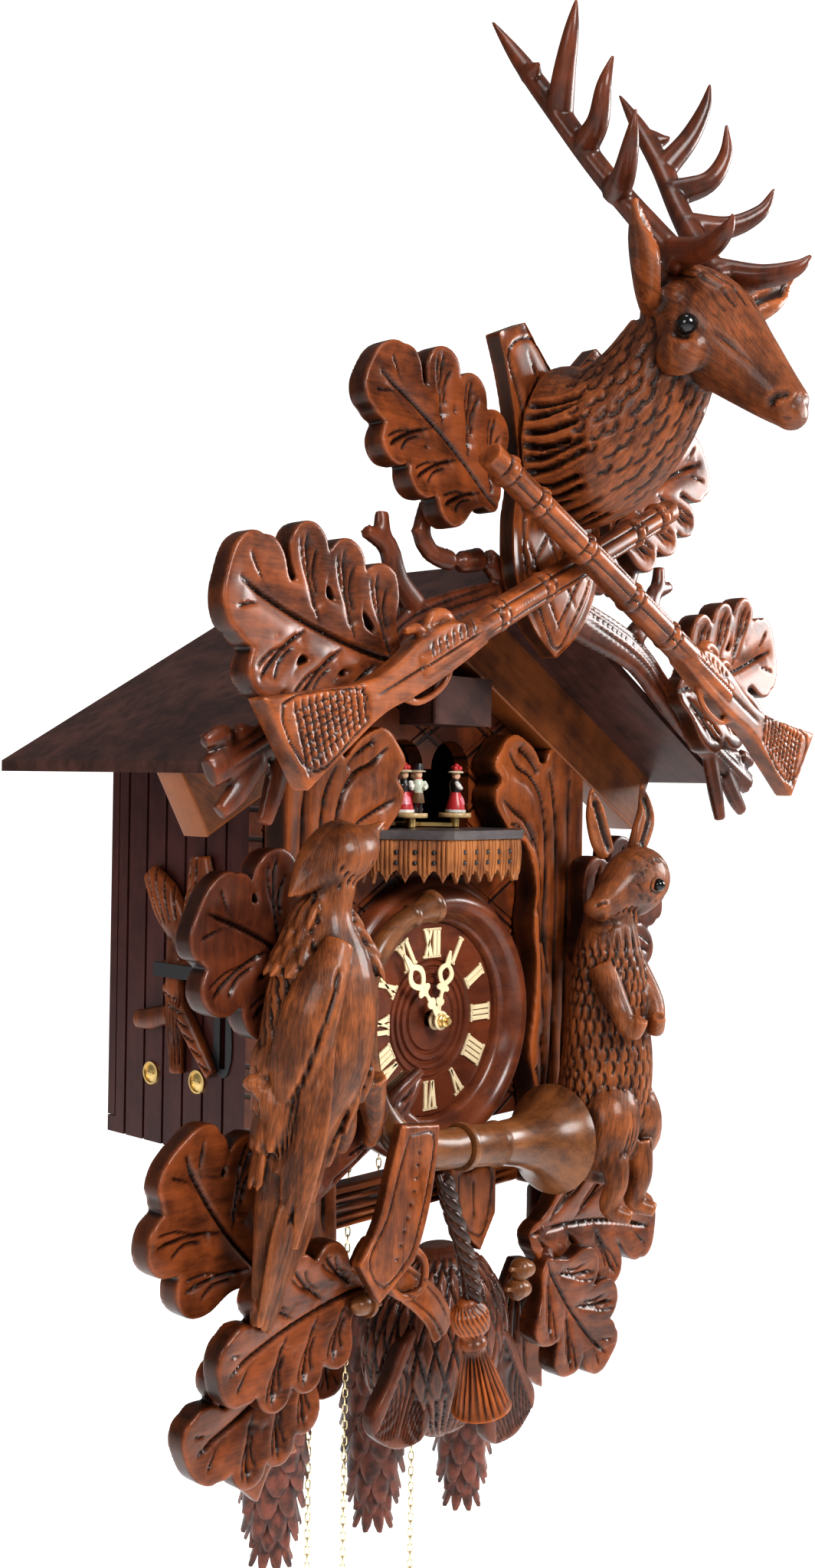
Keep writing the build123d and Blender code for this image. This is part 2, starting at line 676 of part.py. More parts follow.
# ---- pendulum ---------------------------------------------------------------------------
bob_top = BOB_Z + BOB_LENGTH / 2
bob_bottom = BOB_Z - BOB_LENGTH / 2
pendulum_back = PENDULUM_Y + ROD_THICK / 2
pendulum = block(
    PENDULUM_X - ROD_WIDTH / 2, PENDULUM_X + ROD_WIDTH / 2, pendulum_back - ROD_THICK, pendulum_back,
    BOB_Z, PENDULUM_PIVOT_Z,
)
pivot_hub_y = plate_back_y + PLATE_THICK + 4
bob = oak_leaf(
    (PENDULUM_X, bob_top), (PENDULUM_X, bob_bottom), 2 * BOB_HALF_WIDTH, pendulum_back - ROD_THICK,
    lobes=2, thickness=6.0,
)
hub_radius = 3.0
pin_wire = 1.2
hub_ends = [(PENDULUM_X, y, PENDULUM_PIVOT_Z) for y in (pivot_hub_y, pendulum_back + 4)]
pin_ends = [(PENDULUM_X, y, PENDULUM_PIVOT_Z) for y in (plate_back_y + PLATE_THICK, pendulum_back + 8)]
verge_pin = rod(*pin_ends, pin_wire)
pendulum += rod(*hub_ends, hub_radius)
pendulum -= rod(*hub_ends, pin_wire + RUNNING_CLEARANCE)
bracket = block(
    PENDULUM_X - 8, PENDULUM_X + 8, plate_back_y, plate_back_y + PLATE_THICK,
    PLATE_TOP_Z, PENDULUM_PIVOT_Z + 8,
)
save("pendulum", pendulum)
save("pendulum_bob", bob)
save("movement_frame", movement_frame + bracket + verge_pin)

# ---- silencing lever --------------------------------------------------------------------
knee_x = -half_width - LEVER_STANDOFF
lever = block(
    knee_x, -inner_half + LEVER_TAIL, SLOT_Y - LEVER_THICK / 2, SLOT_Y + LEVER_THICK / 2,
    LEVER_Z - LEVER_HEIGHT / 2, LEVER_Z + LEVER_HEIGHT / 2,
)
lever += block(
    knee_x, knee_x + LEVER_THICK, SLOT_Y, SLOT_Y + LEVER_REACH,
    LEVER_Z - LEVER_HEIGHT / 2, LEVER_Z + LEVER_HEIGHT / 2,
)
save("silencing_lever", lever)

# ---- dancers ----------------------------------------------------------------------------
table_thick = 2.5
table_z = DECK_TOP_Z + table_thick + 1
disc_z = table_z + 3.5
disc_thick = 3.0
carousel = rod((0, CAROUSEL_Y, table_z - table_thick), (0, CAROUSEL_Y, table_z), 9.0)
carousel += rod((0, CAROUSEL_Y, table_z - 24), (0, CAROUSEL_Y, table_z + 4), 3.0)
couples = []
for quarter in range(4):
    angle = math.radians(CAROUSEL_ANGLE + 90 * quarter)
    x = CAROUSEL_RADIUS * math.cos(angle)
    y = CAROUSEL_Y + CAROUSEL_RADIUS * math.sin(angle)
    arm = Box(CAROUSEL_RADIUS, 5, table_thick, align=(Align.MIN, Align.CENTER, Align.MAX))
    carousel += Pos(0, CAROUSEL_Y, table_z) * Rot(0, 0, math.degrees(angle)) * arm
    carousel += rod((x, y, table_z - table_thick), (x, y, disc_z), 3.0)
    disc = rod((x, y, disc_z), (x, y, disc_z + disc_thick), COUPLE_DISC_RADIUS)
    figures = Pos(x, y, disc_z + disc_thick + COUPLE_HEIGHT / 2)
    figures = figures * Rot(0, 0, math.degrees(angle)) * Box(9, 18, COUPLE_HEIGHT)
    couples.append(disc + figures)
save("carousel", carousel)
save("dancing_couples", *couples)

# ---- carved front frame -----------------------------------------------------------------
frame_top = roof_under(half_width) - TRIM_WIDTH / math.cos(math.radians(ROOF_PITCH)) - 1
frame_right_points = [
    (half_width, FRAME_BOTTOM_Z),
    (half_width, frame_top),
    (86.0, frame_top + (half_width - 86.0) * roof_slope, 4.0),
    (62.0, -38.0 + (EAVE_Z + 66.0), 5.0),
    (56.0, -62.0, 5.0),
    (60.0, -92.0, 4.0),
    (84.0, -108.0, -6.0),
    (93.0, -160.0, 4.0),
    (93.0, -235.0, -4.0),
    (BEAM_HALF, -300.0),
    (BEAM_HALF, FRAME_BOTTOM_Z),
]
frame_right = front_board(frame_right_points, front_y, FRAME_THICK)
frame_right -= dial_ring
frame_left = flip(frame_right)
save("carved_frames", frame_left, frame_right)
beam_front_y = front_y - 5
beam_top_z = FRAME_BOTTOM_Z + BEAM_HEIGHT
beam = block(-BEAM_HALF, BEAM_HALF, beam_front_y, beam_front_y + BEAM_THICK, FRAME_BOTTOM_Z, beam_top_z)
save("bottom_beam", beam)

# ---- crown ------------------------------------------------------------------------------
def crown_arm(points):
    """Branch of the crown, held against the roof's front edge."""
    return front_board(points, crown_y, CROWN_THICK)


arm_right = crown_arm([
    (0, 12), (0, 74), (34, 76, 5), (84, 56, 6), (104, 70), (118, 92), (134, 88), (140, 72),
    (156, 78), (152, 52), (132, 44, 4), (140, 8, -5), (176, -14), (236, -34), (266, -48),
    (258, -92), (222, -94), (205, -62), (150, -40, 6), (96, -2, 5), (56, 10), (20, 6),
])
crown_board = arm_right + flip(arm_right)
save("crown_board", crown_board)

shield_half = [
    (0, SHIELD_TOP_Z - 30),
    (SHIELD_HALF_TOP - 22, SHIELD_TOP_Z),
    (SHIELD_HALF_TOP, SHIELD_TOP_Z - 12, -8),
    (38, 128, -3),
    (44, 76, 5),
    (0, SHIELD_TIP_Z),
]
shield_right = front_board(shield_half, shield_y, SHIELD_THICK)
save("shield", shield_right + flip(shield_right))
shield_front = shield_y - SHIELD_THICK

# Stag: neck out of the shield, head turned down towards the room, ears and two antlers.
neck = barrel_loft([
    ((0, shield_front, 134), 44, 51),
    ((0, shield_front - 20, 134), 43, 50),
    ((0, shield_front - 40, 142), 41, 47),
    ((0, shield_front - 62, 160), 35, 42),
    ((0, shield_front - 80, 190), 30, 34),
])
head = barrel_loft([
    ((0, -316, 214), 14, 14),
    ((0, -328, 205), 30, 29),
    ((0, -350, 187), 34, 33),
    ((0, -374, 165), 25, 25),
    ((0, -395, 146), 19, 18),
    ((0, -409, 133), 12, 12),
])
ear = tapered([(26, -330, 196), (44, -336, 206), (66, -346, 222), (86, -356, 240)], [7, 10, 11, 2])
stag = neck + head + ear + flip(ear)
antler_base = (19.5, -346, 221)
beam_path = [antler_base, (25, -330, 240), (40, -306, 276), (53, -284, 312), (60, -262, 345), (64, -244, 372)]
antler = tapered(beam_path, [7.5, 7.0, 6.5, 6.0, 4.5, 1.2])
tines = [
    [(22, -340, 228), (30, -372, 224), (38, -390, 228), (42, -397, 234)],
    [(36, -312, 266), (52, -326, 272), (66, -342, 277), (72, -349, 283)],
    [(46, -296, 292), (54, -312, 306), (58, -322, 318), (57, -328, 330)],
    [(53, -284, 312), (64, -296, 330), (68, -304, 348), (69, -307, 364)],
]
for tine in tines:
    antler += tapered(tine, [5.0, 4.5, 3.2, 1.0])
antler_right = antler - stag
save("antlers", flip(antler_right), antler_right)
stag_eye = Pos(31, -357, 184) * Sphere(EYE_RADIUS)
bird_eye_at = (-134, -221, -113)
hare_eye_at = (140, -232, -136)
save("stag_head", stag - stag_eye - flip(stag_eye))


def rifle(back, side):
    """Hunting rifle lying across the crown: barrel, stock, guard and butt, muzzle up."""
    muzzle = (-side * RIFLE_MUZZLE[0], RIFLE_MUZZLE[1])
    butt = (side * RIFLE_BUTT[0], RIFLE_BUTT[1])
    length = math.dist(muzzle, butt)
    angle = math.atan2(butt[1] - muzzle[1], butt[0] - muzzle[0])
    plane = Plane(
        origin=(muzzle[0], back, muzzle[1]), x_dir=(math.cos(angle), 0, math.sin(angle)), z_dir=(0, -1, 0)
    )
    up = side
    stock = outline([
        (0.50 * length, -10 * up), (0.50 * length, 7 * up), (0.72 * length, 11 * up),
        (0.79 * length, 8 * up), (length, 26 * up), (length - 8, -24 * up),
        (0.80 * length, -12 * up), (0.74 * length, -20 * up), (0.60 * length, -20 * up),
    ])
    body = extrude(plane * stock, amount=STOCK_THICK)
    axis_y = back - STOCK_THICK / 2 - 1
    end = 0.70 * length
    tip = (muzzle[0], axis_y, muzzle[1])
    breech = (muzzle[0] + end * math.cos(angle), axis_y, muzzle[1] + end * math.sin(angle))
    return body + rod(tip, breech, BARREL_RADIUS)


rear_rifle = rifle(shield_front - 0.5, -1)
front_rifle = rifle(shield_front - STOCK_THICK - 4, 1)
save("hunting_rifles", rear_rifle, front_rifle)

leaf_back = crown_y
roof_leaf = oak_leaf((150, -4), (263, 34), 92, leaf_back - CROWN_THICK, lobes=3)
crown_leaf = oak_leaf((62, 92), (166, 154), 76, leaf_back - CROWN_THICK, lobes=3)


side_leaf = oak_leaf((128, -184), (221, -138), 94, frame_y, lobes=2)
upper_leaves = [roof_leaf, crown_leaf, side_leaf]
save("upper_oak_leaves", *upper_leaves, *[flip(leaf) for leaf in upper_leaves])

ornament_x = -half_width
ornament = side_board(
    [(-92, -172), (-62, -172), (-34, -122, 3), (-52, -118, 3), (-62, -132), (-78, -112, 4),
     (-104, -114, 4), (-112, -140)],
    ornament_x, 7.0,
)
ornament += side_board([(-74, -172), (-66, -172), (-62, -252), (-80, -250)], ornament_x, 8.0)
ornament += side_board([(-76, -196), (-66, -204), (-104, -252), (-112, -242)], ornament_x, 9.0)
ornament += side_board([(-32, -214), (-66, -208), (-66, -222), (-32, -228)], ornament_x, 6.0)
save("side_ornament", ornament)

# ---- animals ----------------------------------------------------------------------------
bird_y = -204.0
bird = barrel_loft([
    ((-196, bird_y, -362), 6, 5),
    ((-186, bird_y, -312), 14, 9),
    ((-172, bird_y, -268), 22, 17),
    ((-154, bird_y, -222), 33, 31),
    ((-146, bird_y, -180), 34, 34),
    ((-146, bird_y, -146), 24, 24),
    ((-144, bird_y - 2, -124), 20, 21),
    ((-142, bird_y - 4, -104), 17, 18),
    ((-138, bird_y - 4, -92), 6, 6),
])
bird += tapered([(-134, bird_y - 8, -108), (-120, bird_y - 10, -99), (-105, bird_y - 12, -88)], [10, 6, 1])
bird_eye = Pos(*bird_eye_at) * Sphere(3.2)
perch = tapered(
    [(-176, -192, -312), (-150, -190, -297), (-110, -190, -276), (-70, -190, -256)], [15, 17, 17, 15]
)
bird_on_branch = bird + perch - bird_eye

hare_y = -204.0
hare = barrel_loft([
    ((102, hare_y + 8, -350), 12, 12),
    ((108, hare_y + 4, -322), 30, 26),
    ((118, hare_y, -276), 38, 34),
    ((122, hare_y, -228), 36, 34),
    ((122, hare_y, -184), 27, 28),
    ((122, hare_y, -164), 22, 24),
    ((128, hare_y, -140), 27, 27),
    ((126, hare_y, -120), 18, 20),
    ((126, hare_y, -112), 5, 6),
])
hare += tapered([(134, hare_y, -118), (146, hare_y, -96), (156, hare_y + 2, -68)], [8, 11, 3])
hare += tapered([(114, hare_y, -120), (106, hare_y, -98), (102, hare_y + 2, -72)], [8, 11, 3])
hare_eye = Pos(*hare_eye_at) * Sphere(4.5)
hare -= hare_eye
save("glass_eyes", stag_eye, flip(stag_eye), bird_eye, hare_eye)

# ---- hunting horn -----------------------------------------------------------------------
tube = tapered(
    [
        (-70, -186, -155), (-88, -186, -170), (-98, -186, -190), (-101, -188, -215), (-99, -191, -245),
        (-90, -195, -268), (-74, -198, -284), (-52, -200, -291), (-30, -200, -293),
    ],
    [8, 7.5, 7.5, 8, 8.5, 9.5, 11, 12.5, 13.5],
)
mouthpiece = tapered([(-39, -186, -144), (-56, -186, -150), (-70, -186, -155)], [11, 8, 9])
bell_axis = Axis((-30, -200, -293), (0.995, 0, -0.1))
bell_plane = Plane(origin=(-30, -200, -293), x_dir=(0.995, 0, -0.1), z_dir=(0, -1, 0))
bell_length = 97.0
bell = revolve(
    bell_plane * outline([
        (0, 0), (0, 14), (40, 15, -1.5), (76, 22, -2.0), (bell_length, 36),
        (bell_length, 33), (76, 18, 2.0), (40, 11), (34, 0),
    ]),
    bell_axis,
)
save("hunting_horn", tube + mouthpiece + bell)

# ---- straps, bag and tassel -------------------------------------------------------------
strap_left = front_board(
    [(-104, -268), (-72, -272), (-80, -318), (-92, -346), (-120, -362), (-136, -338), (-118, -316)],
    -215, 9.0,
)
strap_right = front_board([(4, -317), (44, -317), (46, -352), (32, -374), (8, -352)], -160, 10.0)
bag_y = -160.0
bag = barrel_loft([
    ((0, bag_y, -366), 12, 10),
    ((0, bag_y, -380), 40, 24),
    ((0, bag_y, -412), 64, 36),
    ((0, bag_y, -450), 60, 36),
    ((0, bag_y, -480), 30, 22),
    ((0, bag_y, -490), 8, 8),
])
neck_strap = front_board([(-128, -348), (-88, -356), (-36, -396), (-52, -412)], -199, 10.0)
tassel = tapered(
    [(-80, -234, -298), (-64, -234, -336), (-52, -232, -370), (-50, -230, -380), (-46, -228, -396),
     (-42, -227, -406), (-36, -226, -442)],
    [6, 6.5, 7, 12, 12, 9, 19],
)
save("game_bag", bag)
save("tassel", tassel)

# ---- lower leaves and ribbons -----------------------------------------------------------
leaf_left_1 = oak_leaf((-158, -352), (-226, -266), 96, -160, lobes=2)
leaf_left_2 = oak_leaf((-112, -360), (-222, -388), 78, -192, lobes=3)
leaf_left_3 = oak_leaf((-128, -386), (-222, -440), 76, -172, lobes=3)
stem_left = front_board([(-104, -330), (-150, -330), (-170, -352), (-150, -402), (-110, -392)], -150, 10.0)
leaf_right_1 = oak_leaf((62, -368), (206, -392), 84, -178, lobes=3)
leaf_right_2 = oak_leaf((72, -386), (142, -466), 66, -186, lobes=3)
stem_right = front_board([(98, -330), (140, -330), (120, -380), (84, -396), (70, -366)], -150, 28.0)
stem_left_front = front_board([(-112, -346), (-134, -346), (-140, -392), (-116, -388)], -160, 32.0)
spray_left = stem_left + leaf_left_1 + leaf_left_2 + leaf_left_3 + stem_left_front
spray_right = stem_right + leaf_right_1 + leaf_right_2
for x, z in ((-104, -372), (40, -384)):
    acorn = Pos(x, -206, z) * Sphere(9)
    stalk = rod((x, -206, z), (x + (18 if x > 0 else -12), -180, z + 4), 3)
    if x > 0:
        spray_right += acorn + stalk
    else:
        spray_left += acorn + stalk
ribbon_left = front_board(
    [(-150, -392), (-130, -400), (-122, -470), (-154, -486), (-186, -452), (-176, -410)], -148, 9.0
)
ribbon_right = front_board(
    [(102, -396), (80, -392), (56, -480), (84, -500), (122, -490), (104, -440)], -148, 9.0
)

# ---- the carvings let into one another --------------------------------------------------
spray_left -= frame_left
spray_right -= frame_right
save("lower_oak_leaves", spray_left, spray_right)
save("bird_on_branch", bird_on_branch - tube - flip(side_leaf) - spray_left)
save("hare", hare - side_leaf - spray_right)
save("carved_straps", strap_left, strap_right, neck_strap - spray_left)
save("ribbons", ribbon_left - spray_left, ribbon_right - spray_right)
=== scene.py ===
"""Looks of a carved hunting clock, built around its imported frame.

Lengths in the making are millimetres in the clock's own frame: X to the right of someone facing
the dial, Y back to the wall, Z up from the hanger hole. Each piece is scaled to metres last.
"""

import json
import math

import bmesh
import bpy
import numpy as np
from mathutils import Euler, Matrix, Vector

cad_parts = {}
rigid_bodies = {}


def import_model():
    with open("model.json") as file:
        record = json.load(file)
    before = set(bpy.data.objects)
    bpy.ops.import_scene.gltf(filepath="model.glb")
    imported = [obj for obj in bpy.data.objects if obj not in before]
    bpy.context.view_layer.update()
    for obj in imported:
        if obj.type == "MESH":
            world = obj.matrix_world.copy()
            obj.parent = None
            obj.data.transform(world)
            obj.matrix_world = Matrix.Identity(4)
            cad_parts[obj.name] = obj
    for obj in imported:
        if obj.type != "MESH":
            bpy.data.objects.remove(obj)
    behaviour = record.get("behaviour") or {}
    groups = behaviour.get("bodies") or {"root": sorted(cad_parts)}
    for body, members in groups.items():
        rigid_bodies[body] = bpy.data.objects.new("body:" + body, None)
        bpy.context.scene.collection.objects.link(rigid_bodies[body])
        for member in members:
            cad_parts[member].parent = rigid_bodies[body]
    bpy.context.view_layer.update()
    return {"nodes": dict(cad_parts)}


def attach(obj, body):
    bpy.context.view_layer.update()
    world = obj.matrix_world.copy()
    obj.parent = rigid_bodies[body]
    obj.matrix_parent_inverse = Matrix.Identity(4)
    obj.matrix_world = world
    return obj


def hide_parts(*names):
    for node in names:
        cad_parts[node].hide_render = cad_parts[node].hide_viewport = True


for leftover in list(bpy.data.objects):
    bpy.data.objects.remove(leftover)
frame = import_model()

bl_info = {
    "name": "Carved Hunting Clock",
    "version": (1, 0, 0),
    "blender": (4, 5, 0),
    "location": "View3D > Sidebar > Clock",
    "description": "Carves and colours a wall clock with a stag's head, leaves, chains and dancers",
    "category": "Object",
}

MM = 0.001
DIAL_Z = -222.5
FRONT_Y = -144.0
CHAIN_Y = -94.0
WHEEL_Z = -246.0
ROOF_PITCH = math.radians(29.7)
# name: (sprocket centre X, pitch radius, side on which the weight hangs, cone's lowest Z)
TRAINS = {
    "left": (-65.0, 16.0, -1, -557.0),
    "centre": (-1.5, 14.5, 1, -564.0),
    "right": (78.5, 27.5, 1, -580.0),
}
SPARE_CHAIN = 120.0
CONE_LENGTH = 170.0
CONE_RADIUS = 24.0
HOOK_HEIGHT = 20.0
HANK_TOP_Z = -712.0
HANK_LENGTH = 80.0


# ---- paths and frames -------------------------------------------------------------------
def smooth_path(points, steps=6):
    """Points of any dimension joined by a smooth curve through all of them."""
    points = np.array(points, float)
    if len(points) < 3:
        share = np.linspace(0, 1, steps + 1)[:, None]
        return points[0] * (1 - share) + points[-1] * share
    padded = np.vstack([2 * points[0] - points[1], points, 2 * points[-1] - points[-2]])
    result = []
    for index in range(1, len(padded) - 2):
        before, start, end, after = padded[index - 1 : index + 3]
        for share in np.arange(steps) / steps:
            result.append(
                0.5
                * (
                    2 * start
                    + (end - before) * share
                    + (2 * before - 5 * start + 4 * end - after) * share**2
                    + (3 * start - before - 3 * end + after) * share**3
                )
            )
    result.append(points[-1])
    return np.array(result)


def frames_along(points, side=(1, 0, 0)):
    """Matrix at each point, its Z along the path and its X near the side direction."""
    points = [Vector(p) for p in points]
    side = Vector(side)
    places = []
    for index, point in enumerate(points):
        along = points[min(index + 1, len(points) - 1)] - points[max(index - 1, 0)]
        along.normalize()
        across = side - along * along.dot(side)
        across.normalize()
        place = Matrix((across, along.cross(across), along)).transposed().to_4x4()
        place.translation = point
        places.append(place)
    return places


def facing_front(y=0.0):
    """Places a flat drawing (x, z) upright, facing the room."""
    return Matrix(((1, 0, 0, 0), (0, 0, -1, y), (0, 1, 0, 0), (0, 0, 0, 1)))


def facing_left(x=0.0):
    """Places a flat drawing (y, z) upright, facing the clock's left side."""
    return Matrix(((0, 0, -1, x), (1, 0, 0, 0), (0, 1, 0, 0), (0, 0, 0, 1)))


# ---- shapes -----------------------------------------------------------------------------
def ball(bm, centre, radii, turn=(0, 0, 0), subdivisions=3):
    """Ellipsoid, turned by degrees about its own axes."""
    radii = (radii,) * 3 if isinstance(radii, (int, float)) else radii
    turned = Euler([math.radians(a) for a in turn]).to_matrix().to_4x4()
    place = Matrix.Translation(centre) @ turned @ Matrix.Diagonal((*radii, 1))
    bmesh.ops.create_icosphere(bm, subdivisions=subdivisions, radius=1.0, matrix=place)


def box(bm, low, high, bevel=0.0):
    """Block between two corners with softened edges."""
    low, high = Vector(low), Vector(high)
    place = Matrix.Translation((low + high) / 2) @ Matrix.Diagonal((*(high - low), 1))
    made = bmesh.ops.create_cube(bm, size=1.0, matrix=place)
    if bevel:
        edges = list({edge for vert in made["verts"] for edge in vert.link_edges})
        bmesh.ops.bevel(
            bm, geom=edges, offset=bevel, offset_type="OFFSET", segments=2, profile=0.5,
            affect="EDGES", material=-1,
        )


def limb(bm, points, sizes, segments=14, side=(1, 0, 0), steps=5):
    """Closed tube along a smooth path; a size is a radius or (half width, half height)."""
    sizes = [(s, s) if isinstance(s, (int, float)) else s for s in sizes]
    path = smooth_path(points, steps)
    widths = np.maximum(smooth_path(sizes, steps), 0.15)
    places = [
        place @ Matrix.Diagonal((wide, high, 1, 1))
        for place, (wide, high) in zip(frames_along(path, side), widths)
    ]
    made = bmesh.ops.create_circle(
        bm, cap_ends=True, cap_tris=False, radius=1.0, segments=segments, matrix=places[0]
    )
    edges = list({edge for vert in made["verts"] for edge in vert.link_edges})
    for before, after in zip(places, places[1:]):
        made = bmesh.ops.extrude_edge_only(bm, edges=edges)
        verts = [g for g in made["geom"] if isinstance(g, bmesh.types.BMVert)]
        edges = [g for g in made["geom"] if isinstance(g, bmesh.types.BMEdge)]
        ring = set(verts)
        edges = [e for e in edges if e.verts[0] in ring and e.verts[1] in ring]
        bmesh.ops.transform(bm, matrix=after @ before.inverted(), verts=verts)
    bmesh.ops.holes_fill(bm, edges=edges, sides=0)


def turned(bm, profile, place, segments=64, steps=1):
    """Lathe work: (radius, height) points spun about the place's Z axis."""
    profile = smooth_path(profile, steps) if steps > 1 else profile
    verts = [bm.verts.new((max(radius, 0.0), 0.0, height)) for radius, height in profile]
    edges = [bm.edges.new(pair) for pair in zip(verts, verts[1:])]
    made = bmesh.ops.spin(
        bm, geom=verts + edges, cent=(0, 0, 0), axis=(0, 0, 1), dvec=(0, 0, 0),
        angle=2 * math.pi, steps=segments, use_merge=True, use_duplicate=False,
    )
    fresh = {v for g in made["geom_last"] if isinstance(g, bmesh.types.BMVert) for v in [g]}
    seen, reach = set(verts), list(verts) + list(fresh)
    while reach:
        vert = reach.pop()
        for edge in vert.link_edges:
            other = edge.other_vert(vert)
            if other not in seen:
                seen.add(other)
                reach.append(other)
    seen = [v for v in seen if v.is_valid]
    bmesh.ops.transform(bm, matrix=place, verts=seen)
    bmesh.ops.remove_doubles(bm, verts=seen, dist=0.002)


def flat_cut(bm, outlines, thickness, place, rounded=0.0, resolution=5):
    """Sawn board from (u, v) outlines, holes included; a third value marks a sharp corner."""
    drawing = bpy.data.curves.new("drawing", "CURVE")
    drawing.dimensions = "2D"
    drawing.fill_mode = "BOTH"
    drawing.extrude = thickness / 2 - rounded
    drawing.bevel_depth = rounded
    drawing.bevel_resolution = 2
    drawing.resolution_u = resolution
    for points in outlines:
        spline = drawing.splines.new("BEZIER")
        spline.bezier_points.add(len(points) - 1)
        spline.use_cyclic_u = True
        for knot, point in zip(spline.bezier_points, points):
            knot.co = (point[0], point[1], 0)
        for knot, point in zip(spline.bezier_points, points):
            kind = "VECTOR" if len(point) > 2 else "AUTO"
            knot.handle_left_type = kind
            knot.handle_right_type = kind
    holder = bpy.data.objects.new("drawing", drawing)
    mesh = bpy.data.meshes.new_from_object(holder)
    mesh.transform(place)
    bm.from_mesh(mesh)
    bpy.data.objects.remove(holder)
    bpy.data.curves.remove(drawing)
    bpy.data.meshes.remove(mesh)


def remeshed(bm, voxel, smoothing=0):
    """One even skin over everything in the bmesh."""
    bmesh.ops.recalc_face_normals(bm, faces=bm.faces)
    mesh = bpy.data.meshes.new("rough")
    bm.to_mesh(mesh)
    holder = bpy.data.objects.new("rough", mesh)
    bpy.context.scene.collection.objects.link(holder)
    skin = holder.modifiers.new("skin", "REMESH")
    skin.mode = "VOXEL"
    skin.voxel_size = voxel
    bpy.context.view_layer.update()
    even = bpy.data.meshes.new_from_object(
        holder.evaluated_get(bpy.context.evaluated_depsgraph_get())
    )
    bm.clear()
    bm.from_mesh(even)
    bpy.data.objects.remove(holder)
    bpy.data.meshes.remove(mesh)
    bpy.data.meshes.remove(even)
    for _ in range(smoothing):
        bmesh.ops.smooth_vert(
            bm, verts=bm.verts, factor=0.5, use_axis_x=True, use_axis_y=True, use_axis_z=True
        )


# ---- carving ----------------------------------------------------------------------------
def distance_to_path(points, path):
    """Distance from each point to a broken line, and how far along it the nearest place is."""
    best = np.full(len(points), 1e9)
    where = np.zeros(len(points))
    run = 0.0
    for start, end in zip(path, path[1:]):
        step = end - start
        length = np.linalg.norm(step)
        share = np.clip(((points - start) @ step) / max(length**2, 1e-9), 0, 1)
        far = np.linalg.norm(points - start - share[:, None] * step, axis=1)
        nearer = far < best
        best = np.where(nearer, far, best)
        where = np.where(nearer, run + share * length, where)
        run += length
    return best, where / max(run, 1e-9)


def carve(bm, strokes, plane=None, facing=(0, -1, 0), reach=0.25):
    """Sinks grooves along strokes: (points, half width, depth, kind), kind V, U or swell.

    plane names the two axes that a flat drawing uses; None takes strokes as points in space.
    """
    bm.normal_update()
    bm.verts.ensure_lookup_table()
    if not strokes:
        return
    painted_shading = bm.verts.layers.float.get("painted_shading") or bm.verts.layers.float.new("painted_shading")
    places = np.array([v.co for v in bm.verts], float)
    normals = np.array([v.normal for v in bm.verts], float)
    axes = list(plane) if plane else [0, 1, 2]
    flat = places[:, axes]
    front = np.clip((normals @ np.array(facing, float) - reach) / 0.4, 0, 1) if plane else 1.0
    sunk = np.zeros(len(places))
    dark = np.zeros(len(places))
    for path, half_width, depth, kind in strokes:
        path = smooth_path(path, 4) if len(path) > 2 else np.array(path, float)
        low, high = path.min(0) - 3 * half_width, path.max(0) + 3 * half_width
        near = np.flatnonzero(((flat > low) & (flat < high)).all(1))
        if not len(near):
            continue
        far, where = distance_to_path(flat[near], path)
        fade = np.clip(np.minimum(where, 1 - where) * 8 + 0.35, 0, 1)
        if kind == "V":
            cut = np.clip(1 - far / half_width, 0, 1)
        elif kind == "U":
            cut = np.sqrt(np.clip(1 - (far / half_width) ** 2, 0, 1))
        else:
            cut = np.exp(-((far / half_width) ** 2))
        sunk[near] = np.where(
            abs(depth * cut * fade) > abs(sunk[near]), depth * cut * fade, sunk[near]
        ) if kind != "swell" else sunk[near] + depth * cut * fade
        # V and U grooves get painted shade, darker the deeper the cut; swells get none.
        if kind != "swell":
            dark[near] = np.maximum(dark[near], 0.55 * cut * fade * min(1.0, abs(depth) / 0.8))
    direction = np.array(facing, float) if plane else normals
    places -= direction * (sunk * front)[:, None]
    dark = dark * front
    for vert, place, mark in zip(bm.verts, places, dark):
        vert.co = place
        vert[painted_shading] = max(vert[painted_shading], mark)


def paint_side_shade(bm, amount=0.75, facing=(0, -1, 0)):
    """Paints shade on what doesn't face the room, darker the further it turns away."""
    bm.normal_update()
    painted_shading = bm.verts.layers.float.get("painted_shading") or bm.verts.layers.float.new("painted_shading")
    facing = Vector(facing)
    for vert in bm.verts:
        side = 1.0 - max(0.0, min(1.0, (vert.normal.dot(facing) - 0.05) / 0.75))
        vert[painted_shading] = max(vert[painted_shading], amount * side)


def lay_flow(bm, spine, side=(1, 0, 0)):
    """Stores how far along and round a spine each point lies, for hair and feather strokes."""
    flow = bm.verts.layers.float_vector.get("flow") or bm.verts.layers.float_vector.new("flow")
    bm.verts.ensure_lookup_table()
    path = smooth_path(spine, 6)
    places = np.array([v.co for v in bm.verts], float)
    best = np.full(len(places), 1e9)
    along = np.zeros(len(places))
    nearest = np.zeros(len(places), int)
    run = 0.0
    for index, (start, end) in enumerate(zip(path, path[1:])):
        step = end - start
        length = np.linalg.norm(step)
        share = np.clip(((places - start) @ step) / length**2, 0, 1)
        far = np.linalg.norm(places - start - share[:, None] * step, axis=1)
        nearer = far < best
        best = np.where(nearer, far, best)
        along = np.where(nearer, run + share * length, along)
        nearest = np.where(nearer, index, nearest)
        run += length
    axes = [frames_along(path[:-1], side)[i] for i in range(len(path) - 1)]
    for vert, index, reach in zip(bm.verts, nearest, along):
        place = axes[index]
        local = vert.co - place.translation
        angle = math.atan2(local.dot(place.col[1].xyz), local.dot(place.col[0].xyz))
        vert[flow] = Vector((math.cos(angle), math.sin(angle), reach * MM))


